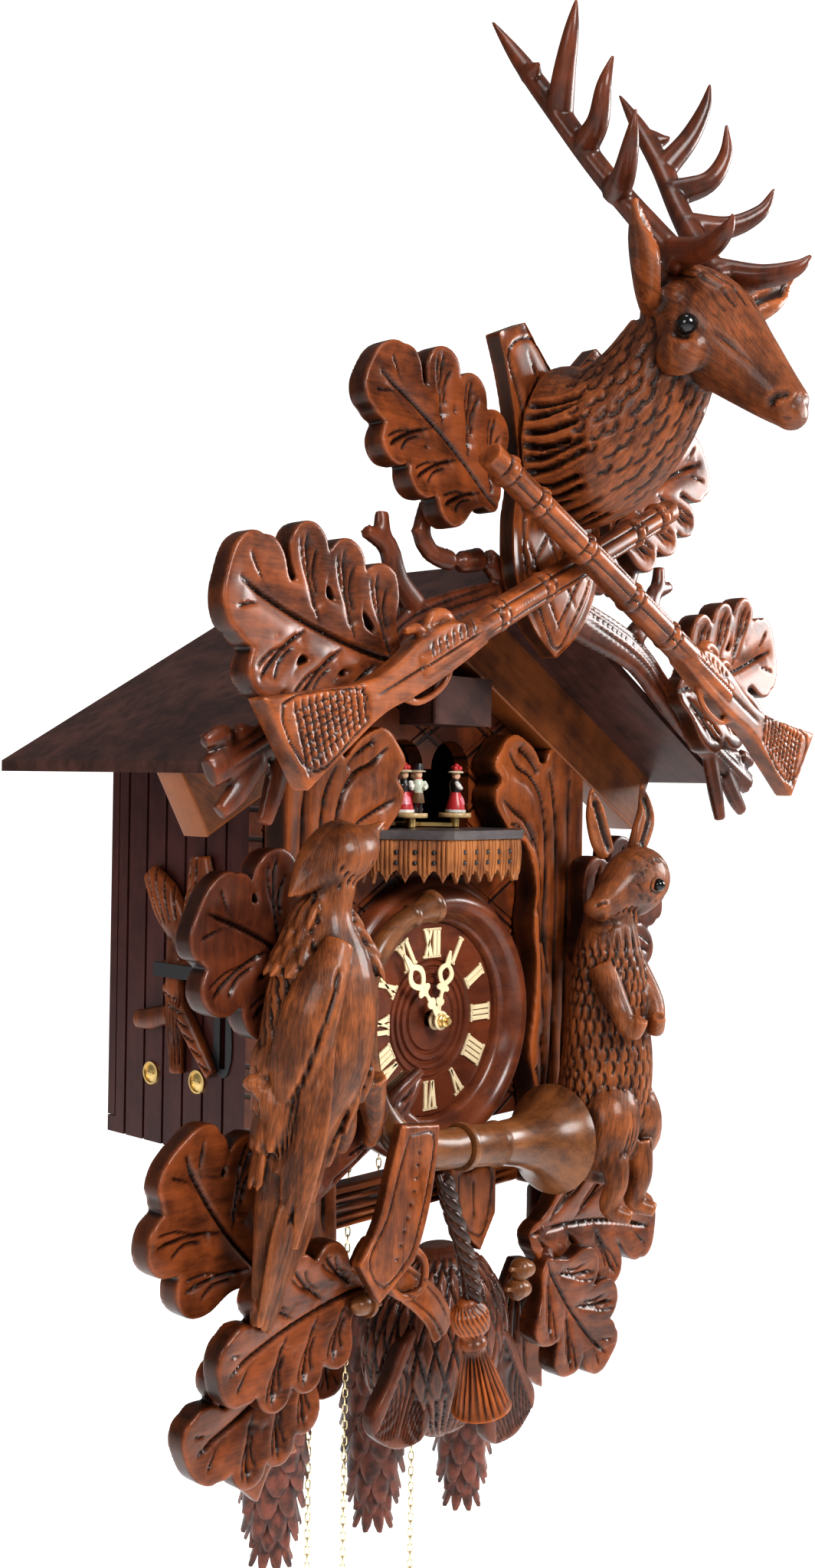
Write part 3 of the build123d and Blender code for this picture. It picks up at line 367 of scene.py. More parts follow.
# ---- pieces -----------------------------------------------------------------------------
def mark_hollows(bm, spread=7, full=0.75):
    """Adds painted shade in hollows to the shading attribute, and a painted highlight on raised edges."""
    bm.normal_update()
    bm.verts.index_update()
    painted_shading = bm.verts.layers.float["painted_shading"]
    places = np.array([v.co for v in bm.verts], float)
    normals = np.array([v.normal for v in bm.verts], float)
    ends = np.array([(e.verts[0].index, e.verts[1].index) for e in bm.edges])
    count = np.bincount(ends.ravel(), minlength=len(places))[:, None].clip(1)
    soft = places.copy()
    for _ in range(spread):
        total = np.stack([np.bincount(ends[:, 0], soft[ends[:, 1], axis], len(soft))
                          + np.bincount(ends[:, 1], soft[ends[:, 0], axis], len(soft))
                          for axis in range(3)], 1)
        soft = 0.4 * soft + 0.6 * total / count
    hollow = ((soft - places) * normals).sum(1) / full
    # Positive values are painted shade in hollows, negative ones a painted highlight on raised edges.
    for vert, mark in zip(bm.verts, hollow):
        vert[painted_shading] = max(-1.0, min(1.0, vert[painted_shading] + (mark if mark > 0 else 0.7 * mark)))


def piece(name, bm, body, material, replaced=(), sharp=40.0):
    """Turns the bmesh into a finished piece on its body, in metres."""
    # Carved pieces get painted shade in their hollows and a painted highlight on raised edges.
    if bm.verts.layers.float.get("painted_shading"):
        mark_hollows(bm)
    bmesh.ops.recalc_face_normals(bm, faces=bm.faces)
    bmesh.ops.transform(bm, matrix=Matrix.Scale(MM, 4), verts=bm.verts)
    mesh = bpy.data.meshes.new(name)
    bm.to_mesh(mesh)
    bm.free()
    return place_mesh(name, mesh, body, material, replaced, sharp)


def place_mesh(name, mesh, body, material, replaced=(), sharp=40.0):
    """Links a mesh that is already in metres."""
    mesh.shade_smooth()
    mesh.set_sharp_from_angle(angle=math.radians(sharp))
    made = bpy.data.objects.new(name, mesh)
    bpy.context.scene.collection.objects.link(made)
    mesh.materials.append(material)
    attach(made, body)
    if replaced:
        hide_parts(*replaced)
    return made


def mirrored(bm):
    """Adds the mirror image across the clock's middle."""
    copied = bmesh.ops.duplicate(bm, geom=bm.verts[:] + bm.edges[:] + bm.faces[:])
    verts = [g for g in copied["geom"] if isinstance(g, bmesh.types.BMVert)]
    faces = [g for g in copied["geom"] if isinstance(g, bmesh.types.BMFace)]
    bmesh.ops.scale(bm, vec=(-1, 1, 1), verts=verts)
    bmesh.ops.reverse_faces(bm, faces=faces)


# ---- materials --------------------------------------------------------------------------
class Value:
    """A number socket that can be used in Python expressions."""

    def __init__(self, tree, socket):
        self.tree = tree
        self.socket = socket

    def _maths(self, operation, *others):
        return self.tree.add("ShaderNodeMath", {"operation": operation}, [self, *others])

    def __add__(self, other):
        return self._maths("ADD", other)

    __radd__ = __add__

    def __mul__(self, other):
        return self._maths("MULTIPLY", other)

    __rmul__ = __mul__

    def __sub__(self, other):
        return self._maths("SUBTRACT", other)

    def __rsub__(self, other):
        return self.tree.add("ShaderNodeMath", {"operation": "SUBTRACT"}, [other, self])

    def __truediv__(self, other):
        return self._maths("DIVIDE", other)

    def __pow__(self, other):
        return self._maths("POWER", other)

    def absolute(self):
        return self._maths("ABSOLUTE")

    def least(self, other):
        return self._maths("MINIMUM", other)

    def most(self, other):
        return self._maths("MAXIMUM", other)

    def pingpong(self, other):
        return self._maths("PINGPONG", other)

    def between(self, low, high):
        """0 below low, 1 above high, smooth between."""
        return self.tree.add(
            "ShaderNodeMapRange", {"interpolation_type": "SMOOTHSTEP"}, [self, low, high, 0.0, 1.0]
        )


class Finish:
    """A material's node tree, with its shader at hand."""

    def __init__(self, name, metallic=0.0, coat=0.0, coat_roughness=0.2, specular=0.5):
        self.material = bpy.data.materials.new(name)
        self.material.use_nodes = True
        self.nodes = self.material.node_tree.nodes
        self.links = self.material.node_tree.links
        self.shader = self.nodes["Principled BSDF"]
        self.shader.inputs["Metallic"].default_value = metallic
        self.shader.inputs["Coat Weight"].default_value = coat
        self.shader.inputs["Coat Roughness"].default_value = coat_roughness
        self.shader.inputs["Specular IOR Level"].default_value = specular

    def node(self, kind, settings=None, inputs=()):
        """Adds a node: its settings first, then its sockets' values or links, by place or name."""
        made = self.nodes.new(kind)
        for key, value in (settings or {}).items():
            setattr(made, key, value)
        pairs = inputs.items() if isinstance(inputs, dict) else enumerate(inputs)
        for key, value in pairs:
            if value is None:
                continue
            if isinstance(value, Value):
                self.links.new(value.socket, made.inputs[key])
            elif hasattr(value, "is_linked"):
                self.links.new(value, made.inputs[key])
            else:
                made.inputs[key].default_value = value
        return made

    def add(self, kind, settings=None, inputs=(), output=0):
        """Adds a node and returns one of its outputs as a Value."""
        return Value(self, self.node(kind, settings, inputs).outputs[output])

    def place(self, scale=(1, 1, 1), turn=(0, 0, 0), shift=(0, 0, 0)):
        """Object coordinates, turned and scaled."""
        own = self.add("ShaderNodeTexCoord", None, (), "Object")
        turn = [math.radians(a) for a in turn]
        return self.add(
            "ShaderNodeMapping", {"vector_type": "TEXTURE"},
            {"Vector": own, "Location": shift, "Rotation": turn, "Scale": scale},
        )

    def attribute(self, name, output="Fac"):
        return self.add("ShaderNodeAttribute", {"attribute_name": name}, (), output)

    def noise(self, vector, scale, detail=3.0, roughness=0.55, distortion=0.0):
        return self.add(
            "ShaderNodeTexNoise", None,
            {"Vector": vector, "Scale": scale, "Detail": detail, "Roughness": roughness,
             "Distortion": distortion},
        )

    def mix(self, share, first, second, blend="MIX"):
        """Colour between two colours or colour sockets."""
        made = self.node("ShaderNodeMix", {"data_type": "RGBA", "blend_type": blend})
        for index, value in ((0, share), (6, first), (7, second)):
            if isinstance(value, Value):
                self.links.new(value.socket, made.inputs[index])
            elif isinstance(value, (int, float)):
                made.inputs[index].default_value = value
            else:
                made.inputs[index].default_value = (*value, 1.0)
        return Value(self, made.outputs[2])

    def split(self, vector):
        made = self.node("ShaderNodeSeparateXYZ", None, [vector])
        return [Value(self, made.outputs[i]) for i in range(3)]

    def finish(self, colour, roughness, height=None, depth=0.0005, strength=1.0):
        """Feeds the shader and returns the material."""
        for key, value in (("Base Color", colour), ("Roughness", roughness)):
            if isinstance(value, Value):
                self.links.new(value.socket, self.shader.inputs[key])
            else:
                self.shader.inputs[key].default_value = (
                    value if isinstance(value, (int, float)) else (*value, 1.0)
                )
        if height is not None:
            bump = self.add(
                "ShaderNodeBump", None, {"Strength": strength, "Distance": depth, "Height": height}
            )
            self.links.new(bump.socket, self.shader.inputs["Normal"])
        return self.material


def wood(name, light, dark, grain="z", coat=0.25, rough=0.42, stripes=1.0, painted_shading=1.0, hair=0.0):
    """Stained wood: long grain and blotches of stain, with painted shade in carved recesses and on turned-away
    faces, and a painted highlight on raised edges.
    """
    made = Finish(name, coat=coat, coat_roughness=0.2, specular=0.2)
    stretch = {"x": (9, 1, 1), "y": (1, 9, 1), "z": (1, 1, 9), "fall": (9, 1, 1)}[grain]
    turn = (0, math.degrees(ROOF_PITCH), 0) if grain == "fall" else (0, 0, 0)
    long_grain = made.place(scale=stretch, turn=turn)
    fibres = made.noise(long_grain, 900.0, 5.0, 0.65)
    rings = made.noise(long_grain, 130.0, 3.0, 0.5, 0.6)
    stain = made.noise(made.place(), 38.0, 3.0, 0.6)
    share = (stain.between(0.36, 0.66) * 0.55 + rings.between(0.35, 0.65) * 0.3 * stripes
             + fibres.between(0.3, 0.7) * 0.25)
    colour = made.mix(share, dark, light)
    # Near-black colour of the painted shade in recesses.
    deep = tuple(c * 0.16 for c in dark)
    sunk = made.attribute("painted_shading")
    if hair:
        strokes = hair_strokes(made)
        colour = made.mix(strokes.between(0.42, 0.62) * hair, colour, tuple(c * 0.35 for c in dark))
    # Painted highlight on raised edges, from negative shading values.
    painted_edge_highlight = (sunk * -1.0).between(0.05, 0.8)
    colour = made.mix(painted_edge_highlight * 0.55, colour, tuple(min(1.0, c * 1.5) for c in light))
    # Painted shade in recesses, hollows and turned-away faces.
    colour = made.mix((sunk * painted_shading).most(0.0).least(0.94), colour, deep)
    roughness = stain * 0.12 + fibres * 0.1 + (rough - 0.1)
    height = fibres * 0.25 + rings * 0.2
    if hair:
        height = height * 0.3 + strokes * 1.6
    return made.finish(colour, roughness, height, 0.0006 if hair else 0.00025, 0.9 if hair else 0.7)


def hair_strokes(made):
    """Fine strokes that run along a body's own flow."""
    flow = made.attribute("flow", "Vector")
    scaled = made.add("ShaderNodeMapping", {"vector_type": "POINT"}, {"Vector": flow, "Scale": (26, 26, 90)})
    fine = made.noise(scaled, 1.0, 4.0, 0.65, 0.35)
    return fine


class ClockLooks(bpy.types.PropertyGroup):
    """Sizes and colours that someone may want to change."""

    # The light stain also sets the painted highlight on raised edges, and the dark stain the colour of the painted
    # shade in recesses.
    light_wood: bpy.props.FloatVectorProperty(
        name="Light stain", description="Stain on the raised parts of the carvings",
        subtype="COLOR", default=(0.30, 0.080, 0.019), min=0.0, max=1.0,
    )
    dark_wood: bpy.props.FloatVectorProperty(
        name="Dark stain", description="Stain in the blotches of the carvings",
        subtype="COLOR", default=(0.042, 0.011, 0.005), min=0.0, max=1.0,
    )
    side_wood: bpy.props.FloatVectorProperty(
        name="Side stain", description="Stain on the case's sides",
        subtype="COLOR", default=(0.070, 0.020, 0.017), min=0.0, max=1.0,
    )
    chain_wire: bpy.props.FloatProperty(
        name="Chain wire", description="Diameter of the wire in a chain link",
        unit="LENGTH", default=0.0011, min=0.0005, max=0.002,
    )
    link_pitch: bpy.props.FloatProperty(
        name="Link pitch", description="Distance from one chain link to the next",
        unit="LENGTH", default=0.00535, min=0.003, max=0.01,
    )


FINISHES = {}


def finish_of(name):
    """The finish that was mixed under that name."""
    return FINISHES[name]


class CLOCK_OT_finishes(bpy.types.Operator):
    """Mix the stains, metals and paints"""

    bl_idname = "clock.finishes"
    bl_label = "Mix finishes"

    def execute(self, context):
        looks = context.scene.clock_looks
        light, dark, side = tuple(looks.light_wood), tuple(looks.dark_wood), tuple(looks.side_wood)
        FINISHES["carved"] = wood("carved_wood", light, dark, "z")
        FINISHES["carved_x"] = wood("carved_wood_across", light, dark, "x")
        FINISHES["leaf"] = wood("leaf_wood", (0.22, 0.056, 0.015), (0.028, 0.008, 0.004), "x", coat=0.25, rough=0.38)
        FINISHES["dark_leaf"] = wood("dark_leaf_wood", (0.14, 0.036, 0.013), (0.035, 0.010, 0.006), "z", coat=0.3)
        FINISHES["side"] = wood("side_wood", side, tuple(c * 0.5 for c in side), "z", rough=0.4)
        FINISHES["roof"] = wood("roof_wood", (0.085, 0.034, 0.027), (0.024, 0.010, 0.008), "fall", coat=0.1,
                                rough=0.5)
        FINISHES["trim"] = wood("trim_wood", (0.20, 0.060, 0.015), (0.06, 0.018, 0.007), "fall")
        FINISHES["deck"] = wood("deck_wood", (0.10, 0.085, 0.085), (0.045, 0.037, 0.037), "x", coat=0.1)
        FINISHES["valance"] = wood("valance_wood", (0.40, 0.155, 0.05), (0.13, 0.045, 0.02), "z")
        FINISHES["horn"] = wood("horn_wood", (0.22, 0.080, 0.024), (0.05, 0.017, 0.007), "x", coat=0.4)
        FINISHES["ring"] = wood("ring_wood", (0.20, 0.052, 0.018), (0.07, 0.018, 0.009), "x", coat=0.5)
        FINISHES["dial"] = wood("dial_wood", (0.17, 0.042, 0.016), (0.075, 0.020, 0.010), "x", coat=0.4)
        FINISHES["game_side"] = wood("ornament_wood", (0.24, 0.060, 0.014), (0.05, 0.014, 0.006), "z")
        FINISHES["hair"] = wood("stag_hair", (0.27, 0.075, 0.020), (0.034, 0.010, 0.005), "z", coat=0.25, hair=0.5)
        FINISHES["antler"] = wood("antler_wood", (0.12, 0.028, 0.009), (0.020, 0.006, 0.003), "z", coat=0.3)
        FINISHES["feather"] = wood("feather_wood", (0.30, 0.090, 0.025), (0.034, 0.010, 0.005), "z", coat=0.25, hair=0.4)
        FINISHES["bag"] = wood("bag_wood", (0.16, 0.045, 0.018), (0.03, 0.009, 0.006), "z", coat=0.4, hair=0.4)
        FINISHES["panel"] = lattice_wood(light, dark)
        FINISHES["ivory"] = moulded("ivory", (0.86, 0.70, 0.44), 0.42)
        FINISHES["glass"] = moulded("black_glass", (0.006, 0.006, 0.006), 0.06)
        FINISHES["black"] = moulded("black_steel", (0.012, 0.012, 0.014), 0.38)
        FINISHES["brass"] = metal("brass", (0.78, 0.56, 0.24), 0.28)
        FINISHES["chain"] = metal("chain_brass", (0.84, 0.70, 0.42), 0.24)
        FINISHES["cone"] = cone_iron()
        FINISHES["paint"] = painted()
        return {"FINISHED"}


def lattice_wood(light, dark):
    """Front board with a lattice of narrow grooves, bumped in and darkened with painted shade."""
    made = Finish("lattice_wood", coat=0.25, coat_roughness=0.25, specular=0.4)
    x, _, z = made.split(made.place())
    fibres = made.noise(made.place(scale=(1, 1, 9)), 900.0, 5.0, 0.65)
    stain = made.noise(made.place(), 30.0, 3.0, 0.6)
    slope = math.tan(math.radians(31))
    nearest = (z - x * slope).pingpong(0.019).least((z + x * slope).pingpong(0.019))
    groove = 1 - nearest.between(0.0008, 0.0018)
    rich = tuple(c * g for c, g in zip(light, (1.0, 0.85, 0.7)))
    colour = made.mix(stain.between(0.35, 0.65) * 0.6 + fibres * 0.3, dark, rich)
    # Painted shade in the lattice grooves.
    colour = made.mix(groove * 0.9, colour, tuple(c * 0.12 for c in dark))
    height = fibres * 0.1 - groove
    return made.finish(colour, fibres * 0.12 + 0.34, height, 0.0008, 0.9)


def moulded(name, colour, rough):
    """Even moulded or enamelled surface with a trace of mottling, darkened with painted shade where a piece carries
    shading marks.
    """
    made = Finish(name, coat=0.2 if rough > 0.1 else 0.0)
    cloud = made.noise(made.place(), 160.0, 3.0)
    tone = made.mix(cloud.between(0.3, 0.7) * 0.35, colour, tuple(c * 0.78 for c in colour))
    # Painted shade from the piece's shading attribute.
    tone = made.mix((made.attribute("painted_shading") * 0.8).least(0.8), tone, tuple(c * 0.25 for c in colour))
    return made.finish(tone, cloud * 0.1 + rough, cloud, 0.0001, 0.4)


def metal(name, colour, rough):
    """Drawn or brushed metal with faint tarnish."""
    made = Finish(name, metallic=1.0)
    cloud = made.noise(made.place(), 220.0, 3.0)
    scratches = made.noise(made.place(scale=(1, 1, 14)), 2600.0, 2.0)
    tone = made.mix(cloud.between(0.42, 0.75) * 0.55, colour, tuple(c * 0.55 for c in colour))
    return made.finish(tone, cloud * 0.2 + scratches * 0.12 + (rough - 0.1), scratches, 0.00004, 0.5)


def cone_iron():
    """Cast scales, painted brown, with painted shade in the hollows and on the core between the scales."""
    made = Finish("cone_iron", coat=0.3, coat_roughness=0.3)
    cloud = made.noise(made.place(), 120.0, 4.0)
    ribs = made.noise(made.place(scale=(1, 1, 7)), 1500.0, 3.0)
    tone = made.mix(cloud.between(0.35, 0.65), (0.055, 0.018, 0.012), (0.19, 0.05, 0.028))
    # Painted shade on the core and in the hollows between the scales.
    tone = made.mix(made.attribute("painted_shading").least(1.0), tone, (0.008, 0.005, 0.005))
    return made.finish(tone, cloud * 0.2 + 0.34, ribs * 0.6 + cloud * 0.5, 0.0004, 0.8)


def painted():
    """Hand-painted colours held on the figures themselves."""
    made = Finish("figure_paint", coat=0.25)
    own = made.attribute("paint", "Color")
    cloud = made.noise(made.place(), 500.0, 3.0)
    tone = made.mix(cloud.between(0.35, 0.75) * 0.35, own, (0.05, 0.03, 0.025), "MIX")
    return made.finish(tone, cloud * 0.2 + 0.3, cloud, 0.0001, 0.5)


# ---- stage ------------------------------------------------------------------------------
def area_light(name, place, target, size, power, colour=(1, 1, 1)):
    light = bpy.data.lights.new(name, "AREA")
    light.shape = "DISK"
    light.size = size
    light.energy = power
    light.color = colour
    holder = bpy.data.objects.new(name, light)
    holder.location = place
    holder.rotation_euler = (Vector(target) - Vector(place)).to_track_quat("-Z", "Y").to_euler()
    bpy.context.scene.collection.objects.link(holder)


class CLOCK_OT_stage(bpy.types.Operator):
    """Set the camera, the soft lights, the floor and the backdrop"""

    bl_idname = "clock.stage"
    bl_label = "Set the stage"

    def execute(self, context):
        bearing = math.radians(47.5)
        lens = bpy.data.cameras.new("camera")
        lens.lens = 36.07
        lens.sensor_width = 36.0
        camera = bpy.data.objects.new("camera", lens)
        look = Vector((math.sin(bearing), math.cos(bearing), 0)).to_track_quat("-Z", "Y")
        camera.rotation_mode = "QUATERNION"
        camera.rotation_quaternion = look @ Euler((0, 0, math.radians(0.92))).to_quaternion()
        camera.location = (-0.765, -0.828, -0.070)
        context.scene.collection.objects.link(camera)
        context.scene.camera = camera

        target = (0, -0.12, -0.15)
        area_light("key", (-0.35, -2.0, 1.0), target, 0.9, 44)
        area_light("side", (-2.0, -0.6, 0.6), target, 1.0, 15)
        area_light("rim", (1.9, -1.1, 0.5), target, 0.9, 40)
        area_light("top", (-0.2, -0.6, 2.0), target, 1.0, 12)
        world = bpy.data.worlds.new("studio")
        world.use_nodes = True
        tree = world.node_tree
        sky = tree.nodes["Background"]
        sky.inputs["Color"].default_value = (1, 1, 1, 1)
        sky.inputs["Strength"].default_value = 0.18
        paper_sky = tree.nodes.new("ShaderNodeBackground")
        paper_sky.inputs["Color"].default_value = (1, 1, 1, 1)
        paper_sky.inputs["Strength"].default_value = 1.0
        paths = tree.nodes.new("ShaderNodeLightPath")
        blend = tree.nodes.new("ShaderNodeMixShader")
        tree.links.new(paths.outputs["Is Camera Ray"], blend.inputs[0])
        tree.links.new(sky.outputs[0], blend.inputs[1])
        tree.links.new(paper_sky.outputs[0], blend.inputs[2])
        tree.links.new(blend.outputs[0], tree.nodes["World Output"].inputs["Surface"])
        context.scene.world = world
        context.scene.view_settings.view_transform = "Standard"
        context.scene.view_settings.look = "Medium High Contrast"

        pale = Finish("pale_paper", specular=0.1)
        cloud = pale.noise(pale.place(), 3.0, 2.0)
        paper = pale.finish(pale.mix(cloud, (0.92, 0.92, 0.92), (0.95, 0.95, 0.95)), 0.8)
        glow = paper.node_tree.nodes["Principled BSDF"]
        glow.inputs["Emission Color"].default_value = (1, 1, 1, 1)
        glow.inputs["Emission Strength"].default_value = 0.75
        floor = bmesh.new()
        bmesh.ops.create_grid(floor, x_segments=8, y_segments=8, size=6.0)
        bmesh.ops.translate(floor, vec=(0, 0, -1.3), verts=floor.verts)
        mesh = bpy.data.meshes.new("floor")
        floor.to_mesh(mesh)
        floor.free()
        mesh.materials.append(paper)
        made = bpy.data.objects.new("floor", mesh)
        context.scene.collection.objects.link(made)
        return {"FINISHED"}


# ---- chains and weights -----------------------------------------------------------------
def route_curve(name, points):
    """Smooth curve whose control points are the chain's route."""
    line = bpy.data.curves.new(name, "CURVE")
    line.dimensions = "3D"
    line.resolution_u = 12
    spline = line.splines.new("NURBS")
    spline.points.add(len(points) - 1)
    for knot, point in zip(spline.points, points):
        knot.co = (*(c * MM for c in point), 1.0)
    spline.order_u = 3
    spline.use_endpoint_u = True
    return line


def points_on(line):
    """The curve's own points, in order, in metres."""
    holder = bpy.data.objects.new("route", line)
    mesh = bpy.data.meshes.new_from_object(holder)
    points = np.array([v.co for v in mesh.vertices], float)
    bpy.data.objects.remove(holder)
    bpy.data.meshes.remove(mesh)
    return points


def link_mesh(pitch, wire, half_width):
    """One oval wire link in metres, its long way along Z."""
    bm = bmesh.new()
    half = pitch / 2 + wire / 2 - half_width + wire / 2
    centre_x = half_width - wire / 2
    place = Matrix.Translation((centre_x, 0, -half))
    made = bmesh.ops.create_circle(bm, cap_ends=False, radius=wire / 2, segments=6, matrix=place)
    edges = list({edge for vert in made["verts"] for edge in vert.link_edges})
    moved = bmesh.ops.extrude_edge_only(bm, edges=edges)["geom"]
    verts = [g for g in moved if isinstance(g, bmesh.types.BMVert)]
    bmesh.ops.translate(bm, vec=(0, 0, 2 * half), verts=verts)
    for height, back in ((half, False), (-half, True)):
        ring = set(verts)
        edges = [e for v in verts for e in v.link_edges if e.verts[0] in ring and e.verts[1] in ring]
        made = bmesh.ops.spin(
            bm, geom=verts + list(set(edges)), cent=(0, 0, height), axis=(0, 1, 0), dvec=(0, 0, 0),
            angle=-math.pi, steps=4, use_merge=False, use_duplicate=False,
        )
        verts = [g for g in made["geom_last"] if isinstance(g, bmesh.types.BMVert)]
        if back:
            break
        ring = set(verts)
        edges = list({e for v in verts for e in v.link_edges if e.verts[0] in ring and e.verts[1] in ring})
        moved = bmesh.ops.extrude_edge_only(bm, edges=edges)["geom"]
        verts = [g for g in moved if isinstance(g, bmesh.types.BMVert)]
        bmesh.ops.translate(bm, vec=(0, 0, -2 * half), verts=verts)
    bmesh.ops.remove_doubles(bm, verts=bm.verts, dist=wire * 0.02)
    bmesh.ops.recalc_face_normals(bm, faces=bm.faces)
    mesh = bpy.data.meshes.new("link")
    bm.to_mesh(mesh)
    bm.free()
    return mesh


def chain_along(points, pitch, wire, half_width):
    """Links threaded one through the next along the points, in metres."""
    steps = np.linalg.norm(np.diff(points, axis=0), axis=1)
    run = np.concatenate([[0], np.cumsum(steps)])
    count = int(run[-1] / pitch)
    stations = (np.arange(count) + 0.5) * run[-1] / count
    places = [np.array([np.interp(s, run, points[:, k]) for k in range(3)]) for s in stations]
    link = link_mesh(pitch, wire, half_width)
    bm = bmesh.new()
    for index, place in enumerate(frames_along(places, side=(0, 1, 0))):
        place = place @ Euler((0, 0, math.radians(45 + 90 * (index % 2)))).to_matrix().to_4x4()
        turned_link = link.copy()
        turned_link.transform(place)
        bm.from_mesh(turned_link)
        bpy.data.meshes.remove(turned_link)
    mesh = bpy.data.meshes.new("chain")
    bm.to_mesh(mesh)
    bm.free()
    bpy.data.meshes.remove(link)
    return mesh, run[-1]


def free_route(name):
    """From the sprocket's top round to its free side, down, and through the hank's turns."""
    x, radius, side, _ = TRAINS[name]
    lane = x - side * radius
    top = WHEEL_Z + radius
    points = [
        (x, CHAIN_Y, top), (lane + side * 3, CHAIN_Y, top), (lane, CHAIN_Y, top - radius * 0.8),
        (lane, CHAIN_Y, WHEEL_Z - 40), (lane, CHAIN_Y, HANK_TOP_Z + 24),
        (lane, CHAIN_Y - 4, HANK_TOP_Z + 4),
    ]
    low, high = HANK_TOP_Z - HANK_LENGTH + 3, HANK_TOP_Z - 3
    for turn in range(12):
        y = CHAIN_Y - 11 + 2 * turn
        across = 11 if turn % 2 else -11
        start, end = (high, low) if turn % 2 == 0 else (low, high)
        points += [(lane + across, y, start), (lane + across, y + 0.6, end)]
    return points, lane


class CLOCK_OT_chains(bpy.types.Operator):
    """Thread the brass chains over the sprockets, with the hanks and rings on their free ends"""

    bl_idname = "clock.chains"
    bl_label = "Thread the chains"

    def execute(self, context):
        looks = context.scene.clock_looks
        pitch, wire = looks.link_pitch, looks.chain_wire
        for name, (x, radius, side, low_z) in TRAINS.items():
            points, lane = free_route(name)
            line = points_on(route_curve("route", points))
            mesh, long = chain_along(line, pitch, wire, 0.002)
            made = place_mesh(f"{name}_free_chain", mesh, "case", finish_of("chain"),
                              [f"chain_{name}_free_side"])
            if name == "left":
                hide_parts("chain_hanks", "chain_rings")
            ring = bmesh.new()
            end = line[-1] / MM
            ring_z = HANK_TOP_Z - HANK_LENGTH - 8 - 1.3
            profile = [(8 + 1.3 * math.cos(a), 1.3 * math.sin(a))
                       for a in np.linspace(0, 2 * math.pi, 9)]
            turned(ring, profile, Matrix.Translation((lane, CHAIN_Y, ring_z)) @ Matrix.Rotation(
                math.pi / 2, 4, "X"), segments=24)
            tie = [(lane + 14 * math.cos(a), CHAIN_Y + 15 * math.sin(a), HANK_TOP_Z - 40)
                   for a in np.linspace(0, 2 * math.pi, 13)]
            limb(ring, tie, [0.7] * 13, segments=6, side=(0, 0, 1), steps=2)
            rings = piece(f"{name}_end_ring", ring, "case", finish_of("chain"))

            hang = x + side * radius
            hook_top = low_z + CONE_LENGTH + HOOK_HEIGHT
            route = [(hang, CHAIN_Y, WHEEL_Z + SPARE_CHAIN), (hang, CHAIN_Y, WHEEL_Z),
                     (hang, CHAIN_Y, hook_top)]
            line = points_on(route_curve("route", route))
            mesh, long = chain_along(line, pitch, wire, 0.002)
            taut = place_mesh(f"{name}_weight_chain", mesh, f"weight_{name}",
                              finish_of("chain"), [f"chain_{name}_weight_side"])
            cone = pine_cone(f"{name}_cone", hang, low_z, f"weight_{name}")
            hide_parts(f"weight_{name}")
        return {"FINISHED"}


def pine_cone(name, x, low_z, body):
    """Cast cone: a core hung on a hook, clad in long overlapping scales."""
    bm = bmesh.new()
    painted_shading = bm.verts.layers.float.new("painted_shading")
    place = Matrix.Translation((x, CHAIN_Y, low_z))
    core = [(0.2, 2), (7, 4), (15, 30), (18, 70), (15, 120), (9, 158), (5, 168), (0.2, 169)]
    turned(bm, core, place, segments=20, steps=2)
    # The core between the scales is marked fully shaded: painted shade.
    for vert in bm.verts:
        vert[painted_shading] = 1.0
    rows = 11
    for row in range(rows):
        share = row / (rows - 1)
        height = 158 - share * 146
        swell = math.sin(math.pi * (0.16 + 0.76 * share) ** 0.9)
        radius = 5.5 + 12.8 * swell
        count = 8
        for index in range(count):
            angle = 2 * math.pi * (index + 0.5 * (row % 2)) / count + 0.35 * share
            scale = bmesh.new()
            bmesh.ops.create_grid(scale, x_segments=3, y_segments=5, size=0.5)
            long = 27 if share < 0.9 else 20
            wide = 2 * math.pi * radius / count * 0.98
            for vert in scale.verts:
                u, v = vert.co.x, vert.co.y + 0.5
                narrow = 0.55 + 0.75 * math.sin(math.pi * min(1.0, 0.18 + 0.72 * v))
                if v > 0.85:
                    narrow *= 0.72
                lift = 1.2 + 5.2 * v**1.6
                arch = 1.0 - 5.0 * u * u
                vert.co = Vector((u * wide * narrow, radius - 1.5 + lift + 1.6 * arch, -v * long))
            bmesh.ops.solidify(scale, geom=scale.faces, thickness=1.6)
            turn = Matrix.Translation((x, CHAIN_Y, low_z + height)) @ Matrix.Rotation(angle, 4, "Z")
            bmesh.ops.transform(scale, matrix=turn, verts=scale.verts)
            mesh = bpy.data.meshes.new("scale")
            scale.to_mesh(mesh)
            scale.free()
            bm.from_mesh(mesh)
            bpy.data.meshes.remove(mesh)
    top = low_z + CONE_LENGTH
    eye_z = top + HOOK_HEIGHT - 5 - 1.6
    limb(bm, [(x, CHAIN_Y, top - 2), (x, CHAIN_Y, eye_z - 5)], [1.6, 1.6], segments=8)
    eye = [(x + 5 * math.sin(a), CHAIN_Y, eye_z - 5 * math.cos(a)) for a in np.linspace(0, 5.9, 12)]
    limb(bm, eye, [1.5] * 12, segments=8, side=(0, 1, 0), steps=2)
    made = piece(name, bm, body, finish_of("cone"), sharp=50)
    return made


# ---- case, roof and movement ------------------------------------------------------------
def recolour(node, material):
    """Gives a CAD node its real finish."""
    mesh = frame["nodes"][node].data
    mesh.materials.clear()
    mesh.materials.append(finish_of(material))


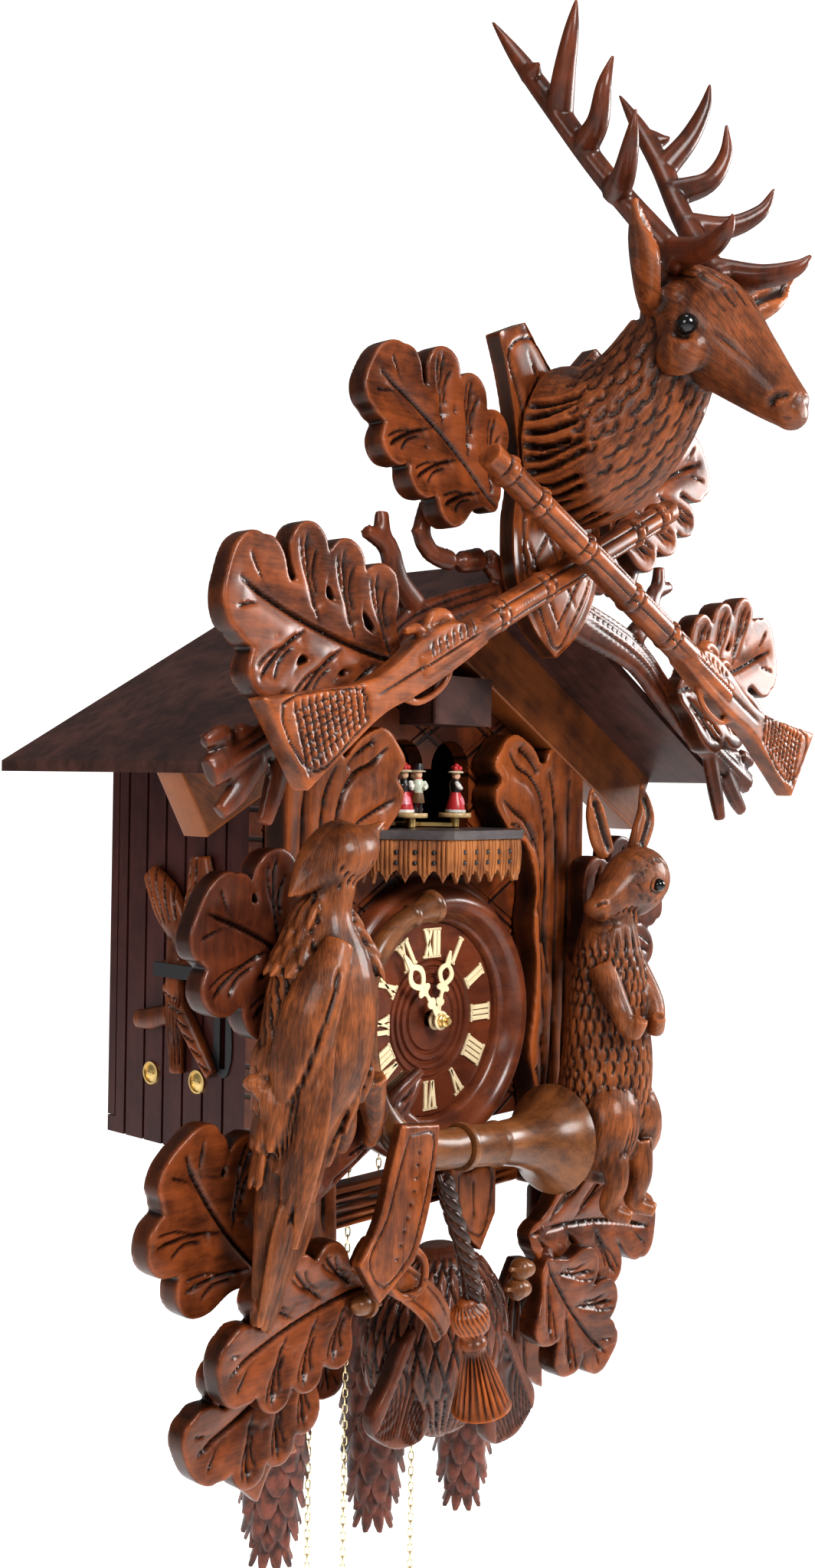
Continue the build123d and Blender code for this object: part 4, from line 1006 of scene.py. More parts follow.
class CLOCK_OT_case(bpy.types.Operator):
    """Stain the case, its back, floor and movement, and put the screws in its side"""

    bl_idname = "clock.case"
    bl_label = "Stain the case"

    def execute(self, context):
        for node in ("case_side_left", "case_side_right", "case_bottom", "case_back", "back_door"):
            recolour(node, "side")
        recolour("case_front", "panel")
        for node in ("roof_left", "roof_right", "door_surround", "cuckoo_door"):
            recolour(node, "roof")
        for node in ("movement_frame", "centre_arbor", "chain_wheel_left", "chain_wheel_centre",
                     "chain_wheel_right", "carousel"):
            recolour(node, "brass")
        recolour("balcony_deck", "deck")
        recolour("silencing_lever", "black")
        recolour("pendulum", "black")
        recolour("cuckoo", "feather")
        recolour("glass_eyes", "glass")

        screws = bmesh.new()
        for y, z in ((-44.5, -254), (-69.6, -233), (-89.1, -253.5)):
            place = Matrix.Translation((-143.5, y, z)) @ Matrix.Rotation(-math.pi / 2, 4, "Y")
            turned(screws, [(0.2, 1.0), (2.4, 1.2), (3.6, 0.6), (5.6, 0.5), (6.0, 1.4), (7.2, 1.4),
                            (7.6, -0.4)], place, segments=24)
            box(screws, (-145.2, y - 3.0, z - 0.5), (-144.0, y + 3.0, z + 0.5))
        piece("side_screws", screws, "case", finish_of("brass"))

        plate = bmesh.new()
        outline = [(-118, -157), (-113.2, -156, 1), (-111.8, -156, 1), (-107, -158), (-106, -200),
                   (-107, -244), (-112.5, -248), (-118, -244), (-119, -200)]
        slot = [(-115, -160), (-110, -160), (-110, -242.5), (-115, -242.5)]
        flat_cut(plate, [outline, [(*p, 1) for p in slot]], 1.0, facing_left(-144.0))
        piece("silencer_plate", plate, "case", finish_of("black"))

        for side, name in ((-1, "left"), (1, "right")):
            trim = bmesh.new()
            along = Vector((side * math.cos(ROOF_PITCH), -math.sin(ROOF_PITCH)))
            down = Vector((side * -math.sin(ROOF_PITCH), -math.cos(ROOF_PITCH)))
            apex = Vector((0, 63.4))
            long = 257.0
            board = [apex, apex + along * long, apex + along * long + down * 40,
                     Vector((0, 63.4 - 40 / math.cos(ROOF_PITCH)))]
            flat_cut(trim, [[(*p, 1) for p in board]], 22.0, facing_front(-156.0), rounded=1.6)
            paint_side_shade(trim, 0.5)
            piece(f"gable_trim_{name}", trim, "case", finish_of("trim"),
                  ["gable_trim"] if side < 0 else ())
        return {"FINISHED"}


# ---- dial -------------------------------------------------------------------------------
def dial_place(y=0.0):
    """Turns lathe work so that its Z faces the room at the dial's centre."""
    return Matrix.Translation((0, y, DIAL_Z)) @ Matrix.Rotation(math.pi / 2, 4, "X")


LETTERS = {"I": 3.7, "V": 8.6, "X": 8.6}
HOURS = ["XII", "I", "II", "III", "IIII", "V", "VI", "VII", "VIII", "IX", "X", "XI"]


class CLOCK_OT_dial(bpy.types.Operator):
    """Turn the ring and the dial, and set the numerals and hands"""

    bl_idname = "clock.dial"
    bl_label = "Make the dial"

    def execute(self, context):
        ring = bmesh.new()
        profile = [(63.2, 0.5), (63.2, 8.5), (64.2, 10.5), (66.0, 10.8), (67.6, 13.0), (70.0, 20.0),
                   (73.5, 23.2), (77.5, 23.8), (81.5, 21.8), (84.6, 17.0), (86.2, 12.4), (87.4, 11.4),
                   (89.8, 10.6), (91.6, 7.6), (91.8, 0.5)]
        turned(ring, profile, dial_place(FRONT_Y), segments=112)
        piece("dial_ring_turned", ring, "case", finish_of("ring"), ["dial_ring"], 50)

        plate = bmesh.new()
        turned(plate, [(5.3, 0.5), (5.3, 5.6), (14, 5.9), (20, 6.0), (21.0, 4.4), (22.5, 4.6), (23.5, 6.2),
                       (26.5, 6.2), (27.5, 4.4), (28.8, 4.6), (29.6, 6.2), (32.0, 6.3), (32.8, 4.6),
                       (34.2, 4.6), (35, 6.2), (37, 6.2), (38.0, 4.8), (39.0, 6.0), (62.7, 6.0),
                       (62.7, 0.5)], dial_place(FRONT_Y), segments=96)
        piece("dial_turned", plate, "case", finish_of("dial"), ["dial_plate"], 25)

        numerals = bmesh.new()
        for hour, spelling in enumerate(HOURS):
            numeral(numerals, hour, spelling)
        piece("numerals_set", numerals, "case", finish_of("ivory"), ["numerals"], 30)

        piece("minute_hand_pierced", pierced_hand(57.5, -39.0, -159.85, 6.2), "minute_work",
              finish_of("ivory"), ["minute_hand"], 30)
        piece("hour_hand_pierced", pierced_hand(45.5, 17.0, -155.35, 6.6), "hour_work",
              finish_of("ivory"), ["hour_hand"], 30)
        nut = bmesh.new()
        turned(nut, [(2.0, 0), (4.1, 0), (4.1, 1.4), (3.6, 1.8), (3.9, 2.2), (3.9, 4.0), (3.2, 4.5), (2.0, 4.5)],
               dial_place(-160.6), segments=32)
        piece("hand_nut_knurled", nut, "minute_work", finish_of("brass"), ["hand_nut"])
        return {"FINISHED"}


def bar(bm, foot, top, wide, y, deep=1.7):
    """Flat stroke of a numeral, with a rounded face."""
    foot, top = Vector(foot), Vector(top)
    along = (top - foot).normalized()
    across = Vector((along.y, -along.x)) * wide / 2
    corners = [foot - across, foot + across, top + across, top - across]
    flat_cut(bm, [[(*p, 1) for p in corners]], deep, facing_front(y - deep / 2), rounded=0.35)


def numeral(bm, hour, spelling):
    """Roman numeral with serifs, its foot towards the dial's centre."""
    total = sum(LETTERS[letter] for letter in spelling)
    angle = math.radians(30 * hour)
    made = bmesh.new()
    cursor = -total / 2
    foot, top = 40.6, 58.4
    for letter in spelling:
        middle = cursor + LETTERS[letter] / 2
        half = LETTERS[letter] / 2 - 1.6
        if letter == "I":
            bar(made, (middle, foot), (middle, top), 2.3, -150.0)
            serifs = [middle]
        elif letter == "V":
            bar(made, (middle - half, top), (middle, foot), 2.5, -150.0)
            bar(made, (middle + half, top), (middle, foot), 1.3, -150.0)
            serifs = [middle - half, middle + half]
        else:
            bar(made, (middle - half, top), (middle + half, foot), 2.5, -150.0)
            bar(made, (middle + half, top), (middle - half, foot), 1.3, -150.0)
            serifs = [middle - half, middle + half]
        for serif in serifs:
            bar(made, (serif - 1.9, top), (serif + 1.9, top), 0.9, -150.0)
        for serif in serifs if letter == "X" else [middle]:
            if letter != "V":
                bar(made, (serif - 1.9, foot), (serif + 1.9, foot), 0.9, -150.0)
        cursor += LETTERS[letter]
    turn = Matrix.Translation((0, 0, DIAL_Z)) @ Matrix.Rotation(angle, 4, "Y")
    bmesh.ops.transform(made, matrix=turn, verts=made.verts)
    mesh = bpy.data.meshes.new("numeral")
    made.to_mesh(mesh)
    made.free()
    bm.from_mesh(mesh)
    bpy.data.meshes.remove(mesh)


def pierced_hand(length, degrees, y, hub):
    """Cast hand: ring, waist with small horns, pierced heart and a spear point."""
    s = length / 57.5
    half = [(1.6, 5.5), (1.5, 12, 1), (3.4, 14.5), (3.2, 17), (1.4, 17.8, 1), (1.5, 24), (5.6, 26.0),
            (4.6, 28.5), (2.2, 29.2, 1), (5.4, 33), (7.4, 38.5), (5.6, 43.5), (2.0, 46.6, 1), (1.7, 51),
            (0.5, 57.5, 1)]
    right = [(x, z * s, *rest) for x, z, *rest in half]
    left = [(-x, z, *rest) for x, z, *rest in reversed(right)]
    hole = [(0, 31.5 * s, 1), (3.4, 35.5 * s), (4.2, 39 * s), (2.6, 42.5 * s), (0, 44.5 * s, 1),
            (-2.6, 42.5 * s), (-4.2, 39 * s), (-3.4, 35.5 * s)]
    made = bmesh.new()
    flat_cut(made, [right + left, hole], 1.3, facing_front(y), rounded=0.4)
    ring = [(hub - 2.4, -0.65), (hub, -0.65), (hub, 0.3), (hub - 0.5, 0.65), (hub - 1.8, 0.65),
            (hub - 2.4, 0.2), (hub - 2.4, -0.65)]
    turned(made, ring, Matrix.Translation((0, y, 0)) @ Matrix.Rotation(math.pi / 2, 4, "X"), segments=32)
    turned(made, [(2.05, -0.6), (3.0, -0.6), (3.0, 0.5), (2.05, 0.5)],
           Matrix.Translation((0, y, 0)) @ Matrix.Rotation(math.pi / 2, 4, "X"), segments=24)
    for angle in range(0, 360, 60):
        spoke = Matrix.Rotation(math.radians(angle), 4, "Y")
        part = bmesh.new()
        box(part, (2.6, y - 0.5, -0.5), (hub - 2.0, y + 0.5, 0.5))
        bmesh.ops.transform(part, matrix=spoke, verts=part.verts)
        mesh = bpy.data.meshes.new("spoke")
        part.to_mesh(mesh)
        part.free()
        made.from_mesh(mesh)
        bpy.data.meshes.remove(mesh)
    turn = Matrix.Translation((0, 0, DIAL_Z)) @ Matrix.Rotation(math.radians(degrees), 4, "Y")
    bmesh.ops.transform(made, matrix=turn, verts=made.verts)
    return made


# ---- leaves -----------------------------------------------------------------------------
def oak_leaf(base, tip, width, lobes, y, thick=14.0, bend=0.0, curl=5.0, voxel=1.25, shift=0.0):
    """Carved oak leaf facing the room: round lobes, sunk midrib and veins, lifted edges.

    y is its front face; bend bows the midrib sideways as a share of the length.
    """
    base, tip = Vector(base), Vector(tip)
    long = (tip - base).length
    along = (tip - base) / long
    across = Vector((-along.y, along.x))

    def on_leaf(u, v):
        share = u / long
        return base + along * u + across * (v + bend * long * 4 * share * (1 - share))

    half = width / 2
    pitch = 0.64 * long / lobes
    bm = bmesh.new()

    def lobe_shape(root, head, wide):
        """One rounded lobe, from its root on the midrib to its head."""
        reach = (head - root)
        turned_aside = Vector((-reach.y, reach.x)).normalized() * wide / 2
        egg = [(0.0, 0.35), (0.35, 0.55), (0.7, 1.06), (0.9, 0.86), (1.0, 0.0)]
        outline = [root + reach * s + turned_aside * t for s, t in egg]
        outline += [root + reach * s - turned_aside * t for s, t in reversed(egg[:-1])]
        flat_cut(bm, [[tuple(on_leaf(*p)) for p in outline]], thick, facing_front(y + thick / 2),
                 rounded=1.2, resolution=6)

    core = [(0.0, 0.06), (0.18, 0.20), (0.5, 0.34), (0.8, 0.22), (0.93, 0.1)]
    outline = [(u * long, v * half) for u, v in core] + [(u * long, -v * half) for u, v in reversed(core)]
    flat_cut(bm, [[tuple(on_leaf(*p)) for p in outline]], thick, facing_front(y + thick / 2), rounded=1.2)
    veins = [([on_leaf(u, 0) for u in np.linspace(-0.02, 0.93, 9) * long], 2.0, 3.0, "V"),
             ([on_leaf(u, 0) for u in np.linspace(0.02, 0.9, 9) * long], 7.0, 2.6, "swell")]
    for side in (1, -1):
        for lobe in range(lobes):
            fullness = 0.74 + 0.28 * math.sin(math.pi * (0.15 + 0.7 * (lobe + 0.5) / lobes))
            root = Vector(((0.06 + 0.03 * side + shift) * long + pitch * lobe, 0))
            head = Vector((root.x + 0.90 * pitch + 0.05 * long, side * fullness * half))
            lobe_shape(root, head, pitch * 0.86)
            for fork, wide, deep in ((0.0, 1.8, 2.4), (0.24, 1.3, 1.5), (-0.24, 1.3, 1.5)):
                aside = Vector((fork * pitch, 0))
                start = root.lerp(head, 0.02 if not fork else 0.36) + aside * 0.3
                end = root.lerp(head, 0.9 if not fork else 0.82) + aside
                middle = start.lerp(end, 0.5) + Vector((0.07 * pitch, -side * 0.02 * half))
                veins.append(([on_leaf(*start), on_leaf(*middle), on_leaf(*end)], wide, deep, "V"))
            veins.append(([on_leaf(*root.lerp(head, s)) for s in (0.2, 0.5, 0.85)], 4.5, 2.0, "swell"))
    lobe_shape(Vector((0.62 * long, 0)), Vector((long, 0)), 0.50 * width)
    for side in (1, -1):
        lobe_shape(Vector((0.60 * long, 0)), Vector((0.93 * long, side * 0.36 * half)), 0.30 * width)
        veins.append(([on_leaf(0.72 * long, side * 2), on_leaf(0.82 * long, side * 0.12 * half),
                       on_leaf(0.92 * long, side * 0.30 * half)], 1.5, 1.8, "V"))
    remeshed(bm, voxel, 2)
    carve(bm, veins, plane=(0, 2))
    for vert in bm.verts:
        local = Vector((vert.co.x, vert.co.z)) - base
        v = local.dot(across) / (width / 2)
        u = local.dot(along) / long
        lift = curl * (0.75 * v * v - 0.25) + 0.5 * curl * max(0.0, u - 0.6)
        vert.co.y -= max(-0.5 * curl, min(lift, 0.4 * curl)) if vert.normal.y < 0.5 else 0.0
    paint_side_shade(bm)
    return bm


def merge(target, *others):
    """Moves other bmeshes, with their attributes, into the target."""
    for other in others:
        mesh = bpy.data.meshes.new("part")
        other.to_mesh(mesh)
        other.free()
        target.from_mesh(mesh)
        bpy.data.meshes.remove(mesh)
    return target


class CLOCK_OT_leaves(bpy.types.Operator):
    """Carve the oak leaves of the crown, the roof's corners and the case's sides"""

    bl_idname = "clock.leaves"
    bl_label = "Carve the leaves"

    def execute(self, context):
        first = True
        for side, name in ((-1, "left"), (1, "right")):
            roof = oak_leaf((side * 140, -4), (side * 262, 34), 96, 3, -249.0, bend=side * -0.04)
            crown = oak_leaf((side * 58, 92), (side * 165, 154), 80, 3, -249.0, bend=side * 0.05)
            low = oak_leaf((side * 128, -186), (side * 219, -140), 96, 2, -179.5, bend=side * 0.05)
            piece(f"roof_leaf_{name}", roof, "case", finish_of("leaf"),
                  ["upper_oak_leaves"] if first else ())
            piece(f"crown_leaf_{name}", crown, "case", finish_of("leaf"))
            piece(f"side_leaf_{name}", low, "case", finish_of("dark_leaf"))
            first = False
        lower = [
            ("lower_leaf_1", (-160, -350), (-224, -266), 92, 2, -174.0, 0.05),
            ("lower_leaf_2", (-112, -360), (-221, -387), 70, 3, -205.0, -0.04),
            ("lower_leaf_3", (-128, -388), (-226, -432), 76, 3, -185.5, 0.04),
            ("lower_leaf_4", (62, -368), (205, -391), 82, 3, -191.0, 0.05),
            ("lower_leaf_5", (70, -386), (140, -466), 66, 2, -199.0, -0.04),
        ]
        for index, (name, base, tip, width, lobes, y, bow) in enumerate(lower):
            leaf = oak_leaf(base, tip, width, lobes, y, bend=bow)
            piece(name, leaf, "case", finish_of("leaf"),
                  () if index else ["lower_oak_leaves"])
        stems = bmesh.new()
        limb(stems, [(-128, -158, -348), (-150, -158, -346), (-162, -160, -352)], [11, 10, 7], segments=8)
        limb(stems, [(-128, -158, -348), (-134, -172, -372), (-126, -176, -392)], [12, 12, 8], segments=8)
        limb(stems, [(-124, -160, -350), (-120, -182, -362), (-108, -196, -362)], [11, 10, 7], segments=8)
        limb(stems, [(116, -158, -348), (104, -168, -366), (70, -184, -368)], [12, 11, 7], segments=8)
        limb(stems, [(112, -158, -350), (96, -170, -378), (74, -190, -388)], [11, 10, 7], segments=8)
        remeshed(stems, 1.6, 2)
        piece("leaf_stems", stems, "case", finish_of("antler"))
        nuts = bmesh.new()
        for x, y, z, lean in ((-117, -207, -368, -1), (30, -207, -379, 1), (29, -205, -392, 1)):
            place = Matrix.Translation((x, y, z)) @ Matrix.Rotation(math.radians(90 * lean + 10), 4, "Y")
            turned(nuts, [(0.1, 10.5), (1.2, 9.5), (4.5, 7), (6.0, 2), (5.6, -2), (7.2, -2.2), (7.0, -5),
                          (4.5, -8), (1.6, -9), (1.4, -14), (0.1, -14)], place, segments=20, steps=2)
        piece("acorns", nuts, "case", finish_of("horn"))
        return {"FINISHED"}


# ---- crown ------------------------------------------------------------------------------
SHIELD_HALF = [(0, 172, 1), (17, 186), (36, 203, 1), (58, 193, 1), (48, 168), (41, 140), (38, 112),
               (42, 84), (38, 52), (22, 26), (0, 9, 1)]


def shield_outline(inset=0.0):
    right = [(max(0.0, x - inset) if x else 0.0, z - inset * (1 if z > 150 else -0.6 if z < 60 else 0), *rest)
             for x, z, *rest in SHIELD_HALF]
    left = [(-x, z, *rest) for x, z, *rest in reversed(right[1:-1])]
    return right + left


class CLOCK_OT_crown(bpy.types.Operator):
    """Carve the shield, the crown's branches and the crossed rifles"""

    bl_idname = "clock.crown"
    bl_label = "Carve the crown"

    def execute(self, context):
        shield = bmesh.new()
        flat_cut(shield, [shield_outline()], 13.5, facing_front(-243.0), rounded=1.0, resolution=8)
        remeshed(shield, 1.5, 1)
        border = [(x, z) for x, z, *_ in shield_outline(7.5)]
        edge = [(x, z) for x, z, *_ in shield_outline(2.5)]
        strokes = [(border + border[:1], 1.4, 1.8, "V"), (edge + edge[:1], 4.5, 2.0, "swell")]
        slope = math.tan(math.radians(56))
        for offset in range(-260, 440, 36):
            for hand in (-1, 1):
                path = [(-60, offset - hand * 60 * slope), (60, offset + hand * 60 * slope)]
                clipped = [p for p in smooth_path(path, 60) if inside_shield(*p)]
                if len(clipped) > 3:
                    strokes.append(([clipped[0], clipped[-1]], 1.2, 1.5, "V"))
        carve(shield, strokes, plane=(0, 2))
        paint_side_shade(shield, 0.85)
        piece("shield_carved", shield, "case", finish_of("carved"), ["shield"])

        branches = bmesh.new()
        y = -230.0
        for side in (-1, 1):
            def twig(points, sizes, deep=0.0):
                limb(branches, [(side * px, y - deep, pz) for px, pz in points], sizes, segments=7, steps=3)

            twig([(8, 44), (60, 33), (110, 18), (150, -10), (200, -38), (258, -66)],
                 [(14, 6), (15, 6), (13, 6), (12, 6), (12, 6), (9, 5.5)])
            twig([(30, 52), (45, 64), (70, 60), (95, 62), (108, 76)], [(8, 6), (8, 6), (7, 6), (6, 5), (5, 4)])
            twig([(108, 30), (124, 44), (132, 62), (150, 68)], [(9, 6), (8, 6), (7, 5), (4, 4)])
            twig([(128, 56), (136, 68), (137, 80)], [(6, 5), (5.5, 5), (4.5, 4)])
            twig([(96, 62), (104, 72), (100, 90)], [(6, 5), (6.5, 5), (5, 4)])
            twig([(222, -48), (248, -46), (262, -51)], [(7, 5), (6, 5), (4, 4)])
            twig([(225, -58), (240, -76), (251, -86)], [(8, 5), (7, 5), (5, 4)])
            twig([(205, -46), (214, -72), (221, -92)], [(8, 5), (7, 5), (5, 4)])
        remeshed(branches, 1.7, 1)
        strokes = []
        for side in (-1, 1):
            for shift in (-5, 1, 6):
                strokes.append(([(side * 40, 44 + shift), (side * 110, 20 + shift), (side * 150, -8 + shift),
                                 (side * 245, -58 + shift)], 1.4, 1.2, "V"))
        carve(branches, strokes, plane=(0, 2))
        paint_side_shade(branches, 0.6)
        piece("crown_branches", branches, "case", finish_of("antler"), ["crown_board"])

        rear = rifle(-1, -259.5)
        front = rifle(1, -279.0)
        piece("rifle_rear", rear, "case", finish_of("carved_x"), ["hunting_rifles"])
        piece("rifle_front", front, "case", finish_of("carved_x"))
        return {"FINISHED"}


def inside_shield(x, z, margin=9.5):
    """Whether a point lies within the shield's border."""
    points = [(0, 158), (34, 190), (46, 184), (38, 164), (31, 130), (30, 100), (33, 84), (30, 56), (14, 33),
              (0, 22)]
    if z > points[0][1] and abs(x) < (z - 158) * 1.05:
        return False
    heights = [p[1] for p in reversed(points[1:])]
    widths = [p[0] for p in reversed(points[1:])]
    return 22 < z < 188 and abs(x) < np.interp(z, heights, widths)


def rifle(side, y):
    """Hunting rifle lying across the crown, muzzle up: banded barrel, guard, and chequered butt."""
    muzzle, butt = Vector((-side * 104, 111)), Vector((side * 246, -56))
    long = (butt - muzzle).length
    along = (butt - muzzle) / long
    up = Vector((-along.y, along.x)) * side

    def on(u, v, deep=0.0):
        place = muzzle + along * u + up * v
        return (place.x, y - deep, place.y)

    bm = bmesh.new()
    limb(bm, [on(0, 0), on(0.4 * long, 0), on(0.70 * long, -1)], [8.0, 9.2, 9.6], segments=12, steps=4)
    for share in (0.035, 0.115, 0.24, 0.38, 0.50):
        u = share * long
        limb(bm, [on(u, 0), on(u + 2.6, 0), on(u + 5.2, 0)], [9.4, 10.4, 9.4], segments=16, steps=2)
    stock = [(0.56 * long, -8, 1), (0.60 * long, 8), (0.68 * long, 10), (0.74 * long, 6), (0.80 * long, 5),
             (0.90 * long, 15), (0.985 * long, 25, 1), (0.965 * long, -24, 1), (0.88 * long, -17),
             (0.79 * long, -11), (0.73 * long, -12), (0.64 * long, -11)]
    outline = [muzzle + along * p[0] + up * p[1] for p in stock]
    outline = [(*p, *q[2:]) for p, q in zip(outline, stock)]
    flat_cut(bm, [outline], 14.0, facing_front(y), rounded=2.0)
    guard = [on(0.62 * long, -9), on(0.655 * long, -19), on(0.71 * long, -20), on(0.745 * long, -11)]
    limb(bm, guard, [2.4, 2.2, 2.2, 2.4], segments=8, side=(0, 1, 0))
    scroll = [on(0.60 * long, 8), on(0.615 * long, 16), on(0.64 * long, 18), on(0.66 * long, 12)]
    limb(bm, scroll, [3.4, 4.4, 4.0, 3.0], segments=8, side=(0, 1, 0))
    limb(bm, [on(0.66 * long, 9), on(0.675 * long, 17), on(0.70 * long, 19)], [3.0, 3.4, 2.2], segments=8,
         side=(0, 1, 0))
    remeshed(bm, 1.25, 1)
    strokes = [([flat(on(0.02 * long, 4.5)), flat(on(0.56 * long, 4.5))], 1.5, 1.6, "V"),
               ([flat(on(0.02 * long, -4.5)), flat(on(0.56 * long, -4.5))], 1.5, 1.6, "V")]
    for share in (0.03, 0.053, 0.11, 0.133, 0.235, 0.258, 0.375, 0.398, 0.495, 0.518):
        strokes.append(([flat(on(share * long, -9)), flat(on(share * long, 9))], 1.4, 1.6, "V"))
    for step in range(11):
        u = (0.835 + 0.0125 * step) * long
        reach = 11 + 0.9 * step
        strokes.append(([flat(on(u, -reach)), flat(on(u - 6, reach - 2))], 1.4, 2.0, "V"))
    for step in range(7):
        v = -14 + 4.6 * step
        strokes.append(([flat(on(0.84 * long, v * 0.62)), flat(on(0.955 * long, v))], 1.0, 1.3, "V"))
    rim = [(0.83, -11), (0.83, 6), (0.965, 20), (0.95, -19), (0.83, -11)]
    strokes.append(([flat(on(s * long, v)) for s, v in rim], 1.2, 1.6, "V"))
    for step in range(7):
        u = (0.585 + 0.016 * step) * long
        strokes.append(([flat(on(u, 1)), flat(on(u - 5, 8))], 1.0, 1.2, "V"))
    strokes.append(([flat(on(0.57 * long, -1)), flat(on(0.80 * long, -2))], 1.2, 1.3, "V"))
    carve(bm, strokes, plane=(0, 2), reach=0.0)
    paint_side_shade(bm, 0.35)
    return bm


def flat(point):
    """The X and Z of a point in space."""
    return (point[0], point[2])


# ---- stag -------------------------------------------------------------------------------
def skin_of(points, sizes, side=(1, 0, 0), steps=5):
    """Function of (share along, angle in degrees) that gives a point on a limb's skin."""
    path = smooth_path(points, steps)
    widths = smooth_path([(s, s) if isinstance(s, (int, float)) else s for s in sizes], steps)
    places = frames_along(path, side)

    def skin(share, angle, proud=0.0):
        position = share * (len(path) - 1)
        index = min(int(position), len(path) - 2)
        rest = position - index
        wide, high = widths[index] * (1 - rest) + widths[index + 1] * rest + proud
        centre = Vector(path[index]).lerp(Vector(path[index + 1]), rest)
        turn = math.radians(angle)
        return (centre + places[index].col[0].xyz * wide * math.cos(turn)
                + places[index].col[1].xyz * high * math.sin(turn))

    return skin


